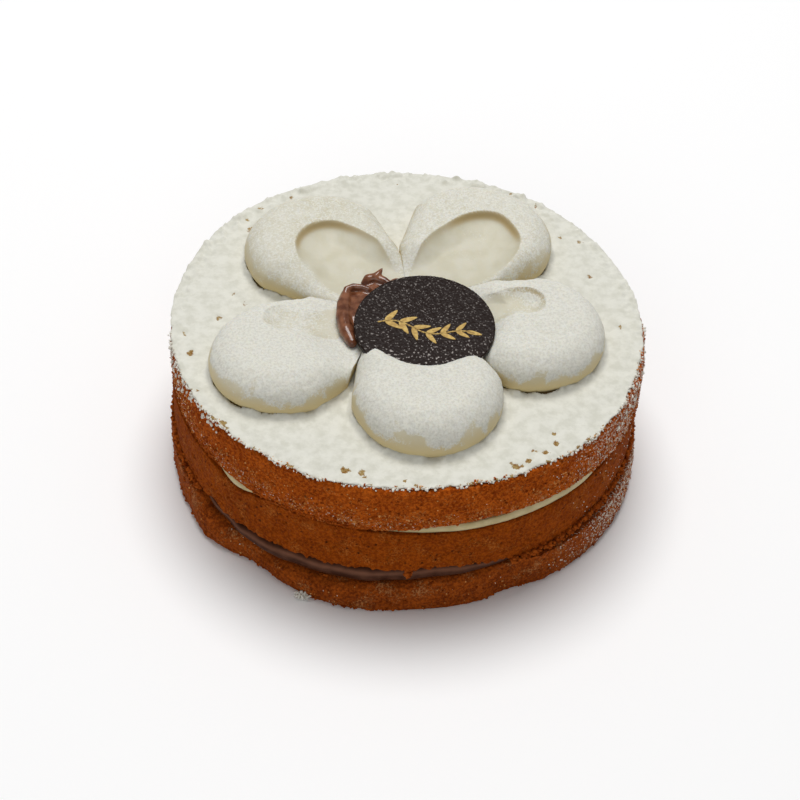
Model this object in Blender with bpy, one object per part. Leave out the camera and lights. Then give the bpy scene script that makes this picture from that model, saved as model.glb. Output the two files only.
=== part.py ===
# A round layer cake: three sponges, a chocolate and a cream filling, and on top
# a flower of five cream petals round a piped ganache swirl with a chocolate disc.
# The cake stands on the floor with its middle over the origin; +Y is its back.

import math
import random

import bmesh
import bpy
from mathutils import Matrix, Vector

MM = 0.001

# Cake body
CAKE_RADIUS = 100 * MM
CAKE_HEIGHT = 70 * MM
BOTTOM_TOP = 17.5 * MM
MIDDLE_FLOOR = 22 * MM
MIDDLE_TOP = 43 * MM
TOP_FLOOR = 46.5 * MM
PIECE_GAP = 0.3 * MM
SPONGE_SHOULDER = 1.6 * MM
RIM_SHOULDER = 2.4 * MM
CRUMB_RELIEF = 0.35 * MM
RIM_RELIEF = 0.7 * MM
CAKE_SEGMENTS = 96
INNER_RINGS = (58 * MM, 86 * MM, 93 * MM)
SHOULDER_RING = 96.6 * MM

# Places round the side, as (angle in degrees, half width in degrees, rise)
CHOCOLATE_DROOP = ((-122, 22, 7 * MM), (-96, 14, 2.5 * MM))
CHOCOLATE_ROOF = ((-132, 20, -2.5 * MM), (-78, 14, 3 * MM))
CREAM_FLOOR = ((-74, 26, 2.5 * MM), (-133, 7, -2.5 * MM))
CREAM_ROOF = ((-70, 26, 3.5 * MM), (-34, 18, 1.5 * MM), (-128, 10, -1.5 * MM))
TOP_BULGES = ((-20, 25, 1.2 * MM), (60, 14, 0.8 * MM), (140, 18, 1 * MM))
MIDDLE_BULGES = ((-75, 22, 1 * MM), (-150, 20, 0.6 * MM), (20, 40, 0.5 * MM))
BOTTOM_BULGES = (
    (-156, 6, 1 * MM),
    (-142, 8, 3.2 * MM),
    (-126, 6, -2.2 * MM),
    (-104, 11, 2 * MM),
    (-62, 7, -2.2 * MM),
    (-28, 22, 2.2 * MM),
    (60, 30, 1.4 * MM),
    (130, 20, 1.8 * MM),
)
BOTTOM_RADIUS = 101.6 * MM
CHOCOLATE_RADIUS = 99.4 * MM
CREAM_RADIUS = 99.2 * MM

# Flower of cream: the petals stand on the cake, thick rolls round a hollow
PETAL_FLOOR = CAKE_HEIGHT + PIECE_GAP
PETAL_INNER = 8.5 * MM
PETAL_BELLY = 5.5 * MM
PETAL_UNDERCUT = 3 * MM
PETAL_GAP = 0.15 * MM
PETAL_TIP_RADIUS = 16 * MM
PETAL_LEAST_ROLL = 3.5 * MM
PETAL_UNEVEN = 0.5 * MM
PETAL_SEGMENTS = 36
FLOWER_CENTRE = Vector((-1 * MM, -1 * MM))
PETALS = {
    "petal_front": {
        "centre": (9.5 * MM, -50 * MM),
        "radius": 32 * MM,
        "height": 17.6 * MM,
        "hollow": (9 * MM, -47 * MM),
        "hollow_radius": 12 * MM,
        "wall": 12 * MM,
        "depth": 0.0,
        "rise": (24 * MM, 42 * MM),
    },
    "petal_right": {
        "centre": (50.5 * MM, -11 * MM),
        "radius": 32 * MM,
        "height": 16.2 * MM,
        "hollow": (44 * MM, -1 * MM),
        "hollow_radius": 14 * MM,
        "wall": 6 * MM,
        "depth": 0.5,
        "rise": (31 * MM, 50 * MM),
    },
    "petal_back_right": {
        "centre": (28.5 * MM, 47 * MM),
        "radius": 32.5 * MM,
        "height": 16 * MM,
        "hollow": (27 * MM, 37 * MM),
        "hollow_radius": 20.5 * MM,
        "wall": 5 * MM,
        "depth": 0.85,
        "rise": (28 * MM, 44 * MM),
    },
    "petal_back_left": {
        "centre": (-40 * MM, 36 * MM),
        "radius": 32 * MM,
        "height": 16 * MM,
        "hollow": (-31 * MM, 28 * MM),
        "hollow_radius": 19.5 * MM,
        "wall": 5 * MM,
        "depth": 0.85,
        "rise": (28 * MM, 44 * MM),
    },
    "petal_left": {
        "centre": (-51.5 * MM, -31.5 * MM),
        "radius": 31.5 * MM,
        "height": 15.6 * MM,
        "hollow": (-47 * MM, -20 * MM),
        "hollow_radius": 17 * MM,
        "wall": 10 * MM,
        "depth": 0.35,
        "rise": (29 * MM, 50 * MM),
    },
}

# Ganache swirl on the petals' inner ends
SWIRL_CENTRE = Vector((-3 * MM, -9 * MM))
SWIRL_FLOOR = PETAL_FLOOR + PETAL_INNER + PIECE_GAP
SWIRL_HEIGHT = 5.8 * MM
SWIRL_RADIUS = 22.6 * MM
SWIRL_BULGE = ((172, 42, 3.6 * MM),)
SWIRL_LOBES = 12
SWIRL_LOBE_DEPTH = 1.3 * MM
SWIRL_LOBE_ANGLE = -173
SWIRL_SEGMENTS = 60
PEAK_FOOT = Vector((-15 * MM, 9.5 * MM, 81 * MM))
PEAK_TIP = Vector((-11.8 * MM, 12.6 * MM, 87 * MM))
PEAK_RADIUS = 3.6 * MM
PEAK_SIDES = 12

# Chocolate disc, lying on the swirl with its front edge tucked into the cream
DISC_RADIUS = 29.3 * MM
DISC_THICKNESS = 3 * MM
DISC_BEVEL = 0.6 * MM
DISC_CENTRE = Vector((7 * MM, -19.4 * MM, 84.2 * MM))
DISC_TILT = 3
DISC_SEGMENTS = 56

RANDOM_SEED = 7


def clear_scene():
    for item in list(bpy.data.objects):
        bpy.data.objects.remove(item, do_unlink=True)


def srgb(red, green, blue):
    """Screen colour from 0 to 255, as the linear colour that a material takes."""
    def linear(value):
        share = value / 255
        return share / 12.92 if share <= 0.04045 else ((share + 0.055) / 1.055) ** 2.4
    return (linear(red), linear(green), linear(blue), 1)


def food_material(name, colour, roughness):
    material = bpy.data.materials.new(name)
    material.use_nodes = True
    shader = material.node_tree.nodes["Principled BSDF"]
    shader.inputs["Base Color"].default_value = colour
    shader.inputs["Roughness"].default_value = roughness
    shader.inputs["Metallic"].default_value = 0
    material.diffuse_color = colour
    return material


def top_sponge_material():
    return food_material("top_sponge", srgb(129, 64, 24), 0.9)


def middle_sponge_material():
    return food_material("middle_sponge", srgb(108, 47, 14), 0.85)


def bottom_sponge_material():
    return food_material("bottom_sponge", srgb(88, 42, 16), 0.75)


def chocolate_filling_material():
    return food_material("chocolate_filling", srgb(60, 33, 19), 0.35)


def cream_filling_material():
    return food_material("cream_filling", srgb(176, 158, 114), 0.5)


def whipped_cream_material():
    return food_material("whipped_cream", srgb(217, 214, 200), 0.7)


def ganache_material():
    return food_material("ganache", srgb(104, 70, 48), 0.3)


def chocolate_material():
    return food_material("dark_chocolate", srgb(52, 43, 40), 0.45)


def add_object(name, shell, material, sharp_angle=50):
    """Object of a closed shell, shaded smooth except along its sharp edges."""
    bmesh.ops.recalc_face_normals(shell, faces=shell.faces)
    mesh = bpy.data.meshes.new(name)
    shell.to_mesh(mesh)
    shell.free()
    mesh.materials.append(material)
    mesh.shade_smooth()
    mesh.set_sharp_from_angle(angle=math.radians(sharp_angle))
    item = bpy.data.objects.new(name, mesh)
    bpy.context.scene.collection.objects.link(item)
    return item


def formed_shell(segments, rings, place):
    """Sphere whose points go to place(angle, ring), ring 0 being its lowest point."""
    shell = bmesh.new()
    bmesh.ops.create_uvsphere(shell, u_segments=segments, v_segments=rings, radius=1)
    for point in shell.verts:
        angle = math.atan2(point.co.y, point.co.x)
        height = max(-1, min(1, point.co.z))
        ring = rings - round(math.acos(height) / math.pi * rings)
        point.co = place(angle, ring)
    return shell


def smooth_step(value):
    share = max(0, min(1, value))
    return share * share * (3 - 2 * share)


def swells(places, angle):
    """Sum of the soft bumps at this angle round the cake."""
    total = 0
    for middle, half_width, rise in places:
        turn = (math.degrees(angle) - middle + 180) % 360 - 180
        total += rise * math.exp(-((turn / half_width) ** 2))
    return total


def seam_height(level, places, radius, angle):
    """Height of a seam: level in the middle of the cake, uneven towards its side."""
    return level + swells(places, angle) * (radius / CAKE_RADIUS) ** 4


def droop(radius, angle):
    """How far the bottom sponge's shoulder and the chocolate on it sink at the side."""
    share = smooth_step((radius - INNER_RINGS[1]) / (CAKE_RADIUS - INNER_RINGS[1]))
    return swells(CHOCOLATE_DROOP, angle) * share


def bottom_roof(radius, angle):
    return BOTTOM_TOP - droop(radius, angle)


def chocolate_roof(radius, angle):
    return seam_height(MIDDLE_FLOOR, CHOCOLATE_ROOF, radius, angle)


def cream_floor(radius, angle):
    return seam_height(MIDDLE_TOP, CREAM_FLOOR, radius, angle)


def cream_roof(radius, angle):
    return seam_height(TOP_FLOOR, CREAM_ROOF, radius, angle)


def layer_shell(rows_at, relief, seed):
    """Turned layer through rows_at(angle), pairs of radius and height from its
    underside's middle to its top's. The rows of its side are roughened."""
    draw = random.Random(RANDOM_SEED + seed)
    last_row = len(rows_at(0)) - 1
    inner_rows = len(INNER_RINGS)

    def place(angle, ring):
        radius, height = rows_at(angle)[ring]
        if inner_rows < ring < last_row - inner_rows:
            radius += draw.uniform(-relief, relief)
        return (radius * math.cos(angle), radius * math.sin(angle), height)

    return formed_shell(CAKE_SEGMENTS, last_row, place)


def level_rows(surface, angle, offset):
    """Rows of a seam's surface, from the cake's middle to the last inner ring."""
    radii = (0,) + INNER_RINGS
    return [(radius, surface(radius, angle) + offset) for radius in radii]


def flat_floor(radius, angle):
    return 0


def sponge_bottom():
    def rows_at(angle):
        edge = BOTTOM_RADIUS + swells(BOTTOM_BULGES, angle)
        roof = bottom_roof(edge, angle)
        rows = level_rows(flat_floor, angle, 0)
        rows.append((edge - 0.6 * SPONGE_SHOULDER, 0))
        rows.append((edge, 0.9 * SPONGE_SHOULDER))
        rows.append((edge + 0.3 * SPONGE_SHOULDER, 0.5 * roof))
        rows.append((edge - 0.4 * SPONGE_SHOULDER, roof - 1.2 * SPONGE_SHOULDER))
        rows.append((SHOULDER_RING, bottom_roof(SHOULDER_RING, angle)))
        rows += reversed(level_rows(bottom_roof, angle, 0))
        return rows

    shell = layer_shell(rows_at, CRUMB_RELIEF, 1)
    return add_object("sponge_bottom", shell, bottom_sponge_material())


def filling_chocolate():
    def rows_at(angle):
        edge = CHOCOLATE_RADIUS + 0.12 * swells(CHOCOLATE_DROOP, angle)
        low = bottom_roof(SHOULDER_RING, angle) + PIECE_GAP
        high = chocolate_roof(edge, angle) - PIECE_GAP
        rows = level_rows(bottom_roof, angle, PIECE_GAP)
        rows.append((SHOULDER_RING, low))
        rows.append((edge, low + 0.35 * (high - low)))
        rows.append((edge - 0.6 * SPONGE_SHOULDER, low + 0.75 * (high - low)))
        rows.append((edge - 1.4 * SPONGE_SHOULDER, high))
        rows += reversed(level_rows(chocolate_roof, angle, -PIECE_GAP))
        return rows

    shell = layer_shell(rows_at, 0, 2)
    return add_object("filling_chocolate", shell, chocolate_filling_material())


def sponge_middle():
    def rows_at(angle):
        edge = CAKE_RADIUS + swells(MIDDLE_BULGES, angle)
        low = chocolate_roof(edge, angle)
        high = cream_floor(edge, angle)
        rows = level_rows(chocolate_roof, angle, 0)
        rows.append((edge - 0.5 * SPONGE_SHOULDER, low))
        rows.append((edge + 0.3 * SPONGE_SHOULDER, low + SPONGE_SHOULDER))
        rows.append((edge, 0.5 * (low + high)))
        rows.append((edge, high - 0.8 * SPONGE_SHOULDER))
        rows.append((edge - 0.6 * SPONGE_SHOULDER, high))
        rows += reversed(level_rows(cream_floor, angle, 0))
        return rows

    shell = layer_shell(rows_at, CRUMB_RELIEF, 3)
    return add_object("sponge_middle", shell, middle_sponge_material())


def filling_cream():
    def rows_at(angle):
        edge = CREAM_RADIUS + 0.6 * swells(MIDDLE_BULGES, angle)
        low = cream_floor(edge, angle) + PIECE_GAP
        high = cream_roof(edge, angle) - PIECE_GAP
        rows = level_rows(cream_floor, angle, PIECE_GAP)
        rows.append((edge - 0.3 * SPONGE_SHOULDER, low))
        rows.append((edge, 0.5 * (low + high)))
        rows.append((edge - 0.3 * SPONGE_SHOULDER, high))
        rows += reversed(level_rows(cream_roof, angle, -PIECE_GAP))
        return rows

    shell = layer_shell(rows_at, 0, 4)
    return add_object("filling_cream", shell, cream_filling_material())


def rim_relief(angle):
    """Small crags of the sugared rim, from three uneven waves."""
    waves = math.sin(7 * angle + 1) + math.sin(19 * angle + 2) + math.sin(31 * angle)
    return RIM_RELIEF * waves / 3


def sponge_top():
    def top_level(radius, angle):
        return CAKE_HEIGHT

    def rows_at(angle):
        edge = CAKE_RADIUS + swells(TOP_BULGES, angle)
        low = cream_roof(edge, angle)
        rim = CAKE_HEIGHT + rim_relief(angle)
        rows = level_rows(cream_roof, angle, 0)
        rows.append((edge - 0.4 * SPONGE_SHOULDER, low))
        rows.append((edge + 0.4 * SPONGE_SHOULDER, low + SPONGE_SHOULDER))
        rows.append((edge + 0.2 * SPONGE_SHOULDER, 0.5 * (low + rim)))
        rows.append((edge, rim - RIM_SHOULDER))
        rows.append((edge - 0.5 * RIM_SHOULDER, rim - 0.35 * RIM_SHOULDER))
        rows.append((edge - 1.2 * RIM_SHOULDER, rim))
        rows += reversed(level_rows(top_level, angle, 0))
        return rows

    shell = layer_shell(rows_at, CRUMB_RELIEF, 5)
    return add_object("sponge_top", shell, top_sponge_material())


def distance_to_way(point, start, end):
    """Distance of a point in plan from the straight way between two others."""
    way = end - start
    share = max(0, min(1, (point - start).dot(way) / way.length_squared))
    return (point - start - share * way).length


def petal_sides(name):
    """Lines that part a petal from the other four, as (point, unit normal)."""
    centre = Vector(PETALS[name]["centre"])
    radius = PETALS[name]["radius"]
    sides = []
    for other in PETALS:
        if other == name:
            continue
        across = Vector(PETALS[other]["centre"]) - centre
        share = radius / (radius + PETALS[other]["radius"])
        normal = across.normalized()
        sides.append((centre + share * across - PETAL_GAP * normal, normal))
    return sides


def petal_reach(name, angle):
    """Distance from the hollow's middle to the petal's outline, which is a large
    round drawn out to a small one at the flower's centre, cut short by its sides."""
    petal = PETALS[name]
    start = Vector(petal["hollow"])
    centre = Vector(petal["centre"])
    way = Vector((math.cos(angle), math.sin(angle)))
    inward = FLOWER_CENTRE - centre
    taper = (petal["radius"] - PETAL_TIP_RADIUS) / inward.length
    low = 0
    high = 2 * inward.length + petal["radius"]
    for _ in range(30):
        middle = 0.5 * (low + high)
        point = start + middle * way
        share = max(0, min(1, (point - centre).dot(inward) / inward.length_squared))
        allowed = petal["radius"] - taper * share * inward.length
        if (point - centre - share * inward).length < allowed:
            low = middle
        else:
            high = middle
    reach = low + PETAL_UNEVEN * math.sin(3 * angle + 5 * centre.x / CAKE_RADIUS)
    for side, normal in petal_sides(name):
        towards = way.dot(normal)
        if towards > 0.001:
            reach = min(reach, (side - start).dot(normal) / towards)
    return reach


def petal_top(name, point):
    """Height of the cream above the petal's floor, well inside its outline."""
    petal = PETALS[name]
    first, last = petal["rise"]
    rise = smooth_step(((point - SWIRL_CENTRE).length - first) / (last - first))
    inside = petal["hollow_radius"] - distance_to_way(point, Vector(petal["hollow"]), FLOWER_CENTRE)
    sunk = petal["depth"] * smooth_step(inside / petal["wall"])
    return PETAL_INNER + (petal["height"] - PETAL_INNER) * rise * (1 - sunk)


def petal_shell(name):
    petal = PETALS[name]
    middle = Vector(petal["hollow"])
    hollow_radius = petal["hollow_radius"]
    lip = hollow_radius - petal["wall"]
    inner_radii = (hollow_radius, 0.5 * (hollow_radius + lip), lip, 0.5 * lip, 0)
    under = ((0, 0), (PETAL_UNDERCUT, 0), (0.4 * PETAL_UNDERCUT, 0.35 * PETAL_BELLY))
    shoulders = (0, 0.06, 0.22, 0.48, 0.8)

    def place(angle, ring):
        reach = petal_reach(name, angle)
        way = Vector((math.cos(angle), math.sin(angle)))
        roll = max(PETAL_LEAST_ROLL, reach - hollow_radius)
        if ring < len(under):
            inset, height = under[ring]
            radius = reach - inset if ring else 0
            return (*(middle + radius * way), PETAL_FLOOR + height)
        step = ring - len(under)
        if step < len(shoulders):
            share = shoulders[step]
            radius = reach - share * roll
            point = middle + radius * way
            bend = math.sqrt(1 - (1 - share) ** 2)
            height = PETAL_BELLY + (petal_top(name, point) - PETAL_BELLY) * bend
            return (*point, PETAL_FLOOR + height)
        radius = inner_radii[step - len(shoulders)] * min(1, (reach - roll) / hollow_radius)
        point = middle + radius * way
        return (*point, PETAL_FLOOR + petal_top(name, point))

    rings = len(under) + len(shoulders) + len(inner_radii) - 1
    return formed_shell(PETAL_SEGMENTS, rings, place)


def disc_placing():
    return Matrix.Translation(DISC_CENTRE) @ Matrix.Rotation(math.radians(DISC_TILT), 4, "X")


def round_plate(radius, thickness):
    plate = bmesh.new()
    bmesh.ops.create_cone(
        plate,
        cap_ends=True,
        segments=DISC_SEGMENTS,
        radius1=radius,
        radius2=radius,
        depth=thickness,
    )
    return plate


def chocolate_disc():
    plate = round_plate(DISC_RADIUS, DISC_THICKNESS)
    rims = [edge for edge in plate.edges if any(len(face.verts) > 4 for face in edge.link_faces)]
    bmesh.ops.bevel(
        plate,
        geom=rims,
        offset=DISC_BEVEL,
        segments=2,
        profile=0.5,
        affect="EDGES",
    )
    disc = add_object("chocolate_disc", plate, chocolate_material(), 60)
    disc.matrix_world = disc_placing()
    return disc


def disc_room():
    """Cutter of the disc's size with the gap all round it."""
    plate = round_plate(DISC_RADIUS + PIECE_GAP, DISC_THICKNESS + 2 * PIECE_GAP)
    room = add_object("disc_room", plate, chocolate_material())
    room.matrix_world = disc_placing()
    room.hide_render = True
    room.display_type = "WIRE"
    return room


def add_boolean(item, other, operation):
    cut = item.modifiers.new(other.name, "BOOLEAN")
    cut.operation = operation
    cut.solver = "EXACT"
    cut.object = other


def petals(room):
    cream = whipped_cream_material()
    for name in PETALS:
        petal = add_object(name, petal_shell(name), cream, 80)
        if name == "petal_front":
            add_boolean(petal, room, "DIFFERENCE")


def swirl_shell():
    """Piped swirl: a low mound with a lobe for each fold of its piping."""
    rows = ((0, 0), (0.86, 0), (0.97, 0.18), (1, 0.42), (0.95, 0.72), (0.82, 0.93), (0.6, 1), (0, 1))

    def place(angle, ring):
        share, height = rows[ring]
        fold = math.cos(SWIRL_LOBES * (angle - math.radians(SWIRL_LOBE_ANGLE)))
        edge = SWIRL_RADIUS + swells(SWIRL_BULGE, angle) + SWIRL_LOBE_DEPTH * fold
        radius = share * edge
        point = SWIRL_CENTRE + radius * Vector((math.cos(angle), math.sin(angle)))
        return (*point, SWIRL_FLOOR + height * SWIRL_HEIGHT)

    return formed_shell(SWIRL_SEGMENTS, len(rows) - 1, place)


def swirl_peak():
    """Pulled-up tip that the piping leaves at the swirl's back."""
    cone = bmesh.new()
    way = PEAK_TIP - PEAK_FOOT
    bmesh.ops.create_cone(
        cone,
        cap_ends=True,
        segments=PEAK_SIDES,
        radius1=PEAK_RADIUS,
        radius2=0.1 * PEAK_RADIUS,
        depth=way.length,
    )
    turn = Vector((0, 0, 1)).rotation_difference(way).to_matrix().to_4x4()
    middle = 0.5 * (PEAK_FOOT + PEAK_TIP)
    bmesh.ops.transform(cone, matrix=Matrix.Translation(middle) @ turn, verts=cone.verts)
    peak = add_object("swirl_peak", cone, ganache_material())
    peak.hide_render = True
    peak.display_type = "WIRE"
    return peak


def ganache_swirl(room):
    swirl = add_object("ganache_swirl", swirl_shell(), ganache_material(), 70)
    add_boolean(swirl, swirl_peak(), "UNION")
    add_boolean(swirl, room, "DIFFERENCE")
    return swirl


def main():
    clear_scene()
    sponge_bottom()
    filling_chocolate()
    sponge_middle()
    filling_cream()
    sponge_top()
    room = disc_room()
    petals(room)
    ganache_swirl(room)
    chocolate_disc()


main()
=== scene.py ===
import math
import random

import bmesh
import bpy
import numpy as np
from mathutils import Matrix, Vector, noise
from mathutils.bvhtree import BVHTree


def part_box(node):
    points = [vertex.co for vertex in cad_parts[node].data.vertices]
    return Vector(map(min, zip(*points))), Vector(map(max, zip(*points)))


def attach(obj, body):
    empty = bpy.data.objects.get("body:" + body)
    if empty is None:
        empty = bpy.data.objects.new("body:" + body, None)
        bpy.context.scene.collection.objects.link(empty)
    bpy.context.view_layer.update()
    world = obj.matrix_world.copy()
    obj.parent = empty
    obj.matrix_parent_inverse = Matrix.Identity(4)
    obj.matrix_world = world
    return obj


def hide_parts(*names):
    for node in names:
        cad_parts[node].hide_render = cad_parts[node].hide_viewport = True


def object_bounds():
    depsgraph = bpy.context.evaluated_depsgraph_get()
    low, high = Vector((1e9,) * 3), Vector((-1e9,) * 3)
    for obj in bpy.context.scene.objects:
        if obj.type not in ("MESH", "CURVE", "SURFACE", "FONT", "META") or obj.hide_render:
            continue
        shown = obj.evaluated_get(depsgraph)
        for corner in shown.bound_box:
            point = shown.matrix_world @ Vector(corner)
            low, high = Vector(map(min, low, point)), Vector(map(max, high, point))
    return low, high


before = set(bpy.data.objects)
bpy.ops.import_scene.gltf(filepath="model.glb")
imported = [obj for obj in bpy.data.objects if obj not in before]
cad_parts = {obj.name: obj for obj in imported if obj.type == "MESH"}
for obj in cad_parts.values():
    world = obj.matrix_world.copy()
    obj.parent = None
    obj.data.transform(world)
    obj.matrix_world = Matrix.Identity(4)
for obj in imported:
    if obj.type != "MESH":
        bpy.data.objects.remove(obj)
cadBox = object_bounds()
mm = 0.001


def tone(red, green, blue):
    # screen colour from 0 to 255, as a shader takes it
    def linear(value):
        share = value / 255
        return share / 12.92 if share <= 0.04045 else ((share + 0.055) / 1.055) ** 2.4
    return (linear(red), linear(green), linear(blue), 1)


def smoothStep(value):
    share = np.clip(value, 0, 1)
    return share * share * (3 - 2 * share)


def swells(places, angle):
    # sum of soft bumps round the cake, each (degrees, half width, rise in mm)
    total = np.zeros_like(angle)
    for middle, halfWidth, rise in places:
        turn = (np.degrees(angle) - middle + 180) % 360 - 180
        total += rise * mm * np.exp(-(turn / halfWidth) ** 2)
    return total


def noiseAt(points, size, seed=0):
    # smooth noise, about -1 to 1
    spots = (points / size + 17.3 * seed).tolist()
    return np.array([noise.noise(spot) for spot in spots])


def grainsAt(points, size, seed=0):
    # 0 in the middle of each grain, about 1 in the gaps between them
    spots = (points / size + 17.3 * seed).tolist()
    return np.array([noise.voronoi(spot)[0][0] for spot in spots])


def readPoints(mesh, kind="co"):
    flat = np.empty(3 * len(mesh.vertices), np.float32)
    mesh.vertices.foreach_get(kind, flat)
    return flat.reshape(-1, 3).astype(float)


def writePoints(mesh, points):
    mesh.vertices.foreach_set("co", points.astype(np.float32).ravel())
    mesh.update()


def paint(item, name, values):
    # one number for each point, for the material to read
    layer = item.data.attributes.new(name, "FLOAT", "POINT")
    layer.data.foreach_set("value", np.clip(values, 0, 1).astype(np.float32))


def linkPiece(name, mesh, material, nodes=()):
    item = bpy.data.objects.new(name, mesh)
    bpy.context.scene.collection.objects.link(item)
    item.data.materials.append(material)
    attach(item, "root")
    if nodes:
        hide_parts(*nodes)
    return item


def formedMesh(name, segments, rings, place):
    # a grid rolled up into a closed shell: place(angle, ring) gives each point,
    # ring 0 being the lowest, and both ends draw in to one point
    sheet = bmesh.new()
    bmesh.ops.create_grid(sheet, x_segments=segments, y_segments=rings, size=1)
    mesh = bpy.data.meshes.new(name)
    sheet.to_mesh(mesh)
    spots = readPoints(mesh)
    ring = np.round((spots[:, 1] + 1) / 2 * rings).astype(int)
    writePoints(mesh, place(spots[:, 0] * math.pi, ring))
    sheet.clear()
    sheet.from_mesh(mesh)
    bmesh.ops.remove_doubles(sheet, verts=sheet.verts, dist=0.001 * mm)
    sheet.to_mesh(mesh)
    sheet.free()
    mesh.shade_smooth()
    return mesh


def roughen(mesh, depth):
    writePoints(mesh, readPoints(mesh) + readPoints(mesh, "normal") * depth[:, None])


def keepInBox(mesh, node):
    low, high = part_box(node)
    writePoints(mesh, np.clip(readPoints(mesh), np.array(low), np.array(high)))


def angleOf(points):
    return np.arctan2(points[:, 1], points[:, 0])


def radiusOf(points):
    return np.hypot(points[:, 0], points[:, 1])


def pastRadius(points, start, width):
    # 0 inside this radius, 1 from so far outside it
    return smoothStep((radiusOf(points) - start) / width)


class Wire:
    # an output socket that can be used in sums like a number
    def __init__(self, tree, socket=None):
        self.tree = tree
        self.socket = socket
        self.place = None  # the Object coordinates, set by newMaterial

    def make(self, kind, settings, inputs, output=0):
        node = self.tree.nodes.new(kind)
        for name, value in settings.items():
            setattr(node, name, value)
        for name, value in inputs.items():
            if isinstance(value, Wire):
                self.tree.links.new(value.socket, node.inputs[name])
            else:
                node.inputs[name].default_value = value
        return Wire(self.tree, node.outputs[output])

    def math(self, operation, first, second):
        return self.make("ShaderNodeMath", {"operation": operation}, {0: first, 1: second})

    def __add__(self, other):
        return self.math("ADD", self, other)

    __radd__ = __add__

    def __sub__(self, other):
        return self.math("SUBTRACT", self, other)

    def __rsub__(self, other):
        return self.math("SUBTRACT", other, self)

    def __mul__(self, other):
        return self.math("MULTIPLY", self, other)

    def step(self, low, high):
        # 0 below low, 1 above high, soft between
        limits = {"Value": self, "From Min": low, "From Max": high}
        return self.make("ShaderNodeMapRange", {"interpolation_type": "SMOOTHSTEP"}, limits)

    def mixed(self, factor, first, second):
        return self.make("ShaderNodeMix", {"data_type": "RGBA"}, {0: factor, 6: first, 7: second}, output=2)

    def grain(self, size, detail=2.0, rough=0.5):
        inputs = {"Vector": self.place, "Scale": 1 / size, "Detail": detail, "Roughness": rough}
        return self.make("ShaderNodeTexNoise", {}, inputs)

    def cells(self, size):
        return self.make("ShaderNodeTexVoronoi", {}, {"Vector": self.place, "Scale": 1 / size})

    def painted(self, name):
        return self.make("ShaderNodeAttribute", {"attribute_name": name}, {}, output=2)

    def bump(self, height, distance, strength):
        inputs = {"Height": height, "Distance": distance, "Strength": strength}
        return self.make("ShaderNodeBump", {}, inputs)


def newMaterial(name, constants):
    material = bpy.data.materials.new(name)
    material.use_nodes = True
    tree = material.node_tree
    shader = tree.nodes["Principled BSDF"]
    for socket, value in constants.items():
        shader.inputs[socket].default_value = value
    wire = Wire(tree)
    wire.place = wire.make("ShaderNodeTexCoord", {}, {}, output=3)

    def feed(socket, value):
        tree.links.new(value.socket, shader.inputs[socket])
    return material, wire, feed


# the layers: degrees are counted from the shown right, with the front at -90,
# and a bump is (degrees, half width in degrees, rise in mm)
cake = {
    "radius": 100 * mm,
    "top": 70 * mm,
    "bottomTop": 17.5 * mm,
    "middleFloor": 22 * mm,
    "middleTop": 43 * mm,
    "topFloor": 46.5 * mm,
    "rings": (0, 58 * mm, 86 * mm, 93 * mm),
    "shoulderRing": 96.6 * mm,
    "droopStart": 86 * mm,
    "droopWidth": 14 * mm,
    "droop": ((-122, 22, 7), (-96, 14, 2.5)),
    "chocolateRoof": ((-132, 20, -2.5), (-78, 14, 3)),
    "creamFloor": ((-74, 26, 2.5), (-133, 7, -2.5)),
    "creamRoof": ((-70, 26, 3.5), (-34, 18, 1.5), (-128, 10, -1.5)),
    "topBulges": ((-20, 25, 1.2), (60, 14, 0.8), (140, 18, 1)),
    "middleBulges": ((-75, 22, 1), (-150, 20, 0.6), (20, 40, 0.5)),
    "bottomBulges": (
        (-156, 6, 1), (-142, 8, 3.2), (-126, 6, -2.2), (-104, 11, 2),
        (-62, 7, -2.2), (-28, 22, 2.2), (60, 30, 1.4), (130, 20, 1.8),
    ),
    "bottomRadius": 101.6 * mm,
    # where a filling shows: from and to (degrees), and how far it tapers at each end
    "chocolateShows": (-149, -57, 9, 12),
    "creamShows": ((-141, -122, 8, 9), (-99, -27, 26, 13)),
}


def seam(level, places, radius, angle):
    return level + swells(places, angle) * (radius / cake["radius"]) ** 4


def bottomRoof(radius, angle):
    share = smoothStep((radius - cake["droopStart"]) / cake["droopWidth"])
    return cake["bottomTop"] - swells(cake["droop"], angle) * share


def chocolateRoof(radius, angle):
    return seam(cake["middleFloor"], cake["chocolateRoof"], radius, angle)


def creamFloor(radius, angle):
    return seam(cake["middleTop"], cake["creamFloor"], radius, angle)


def creamRoof(radius, angle):
    return seam(cake["topFloor"], cake["creamRoof"], radius, angle)


def shows(angle, span):
    # 1 where the filling shows between these degrees, 0 where the sponges close
    turn = np.degrees(angle)
    first, last, softFirst, softLast = span
    opens = np.clip((turn - first) / softFirst, 0, 1) ** 0.6
    return opens * np.clip((last - turn) / softLast, 0, 1) ** 0.6


def chocolateShows(angle):
    return shows(angle, cake["chocolateShows"])


def creamShows(angle):
    left, right = cake["creamShows"]
    return np.maximum(shows(angle, left), shows(angle, right))


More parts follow.
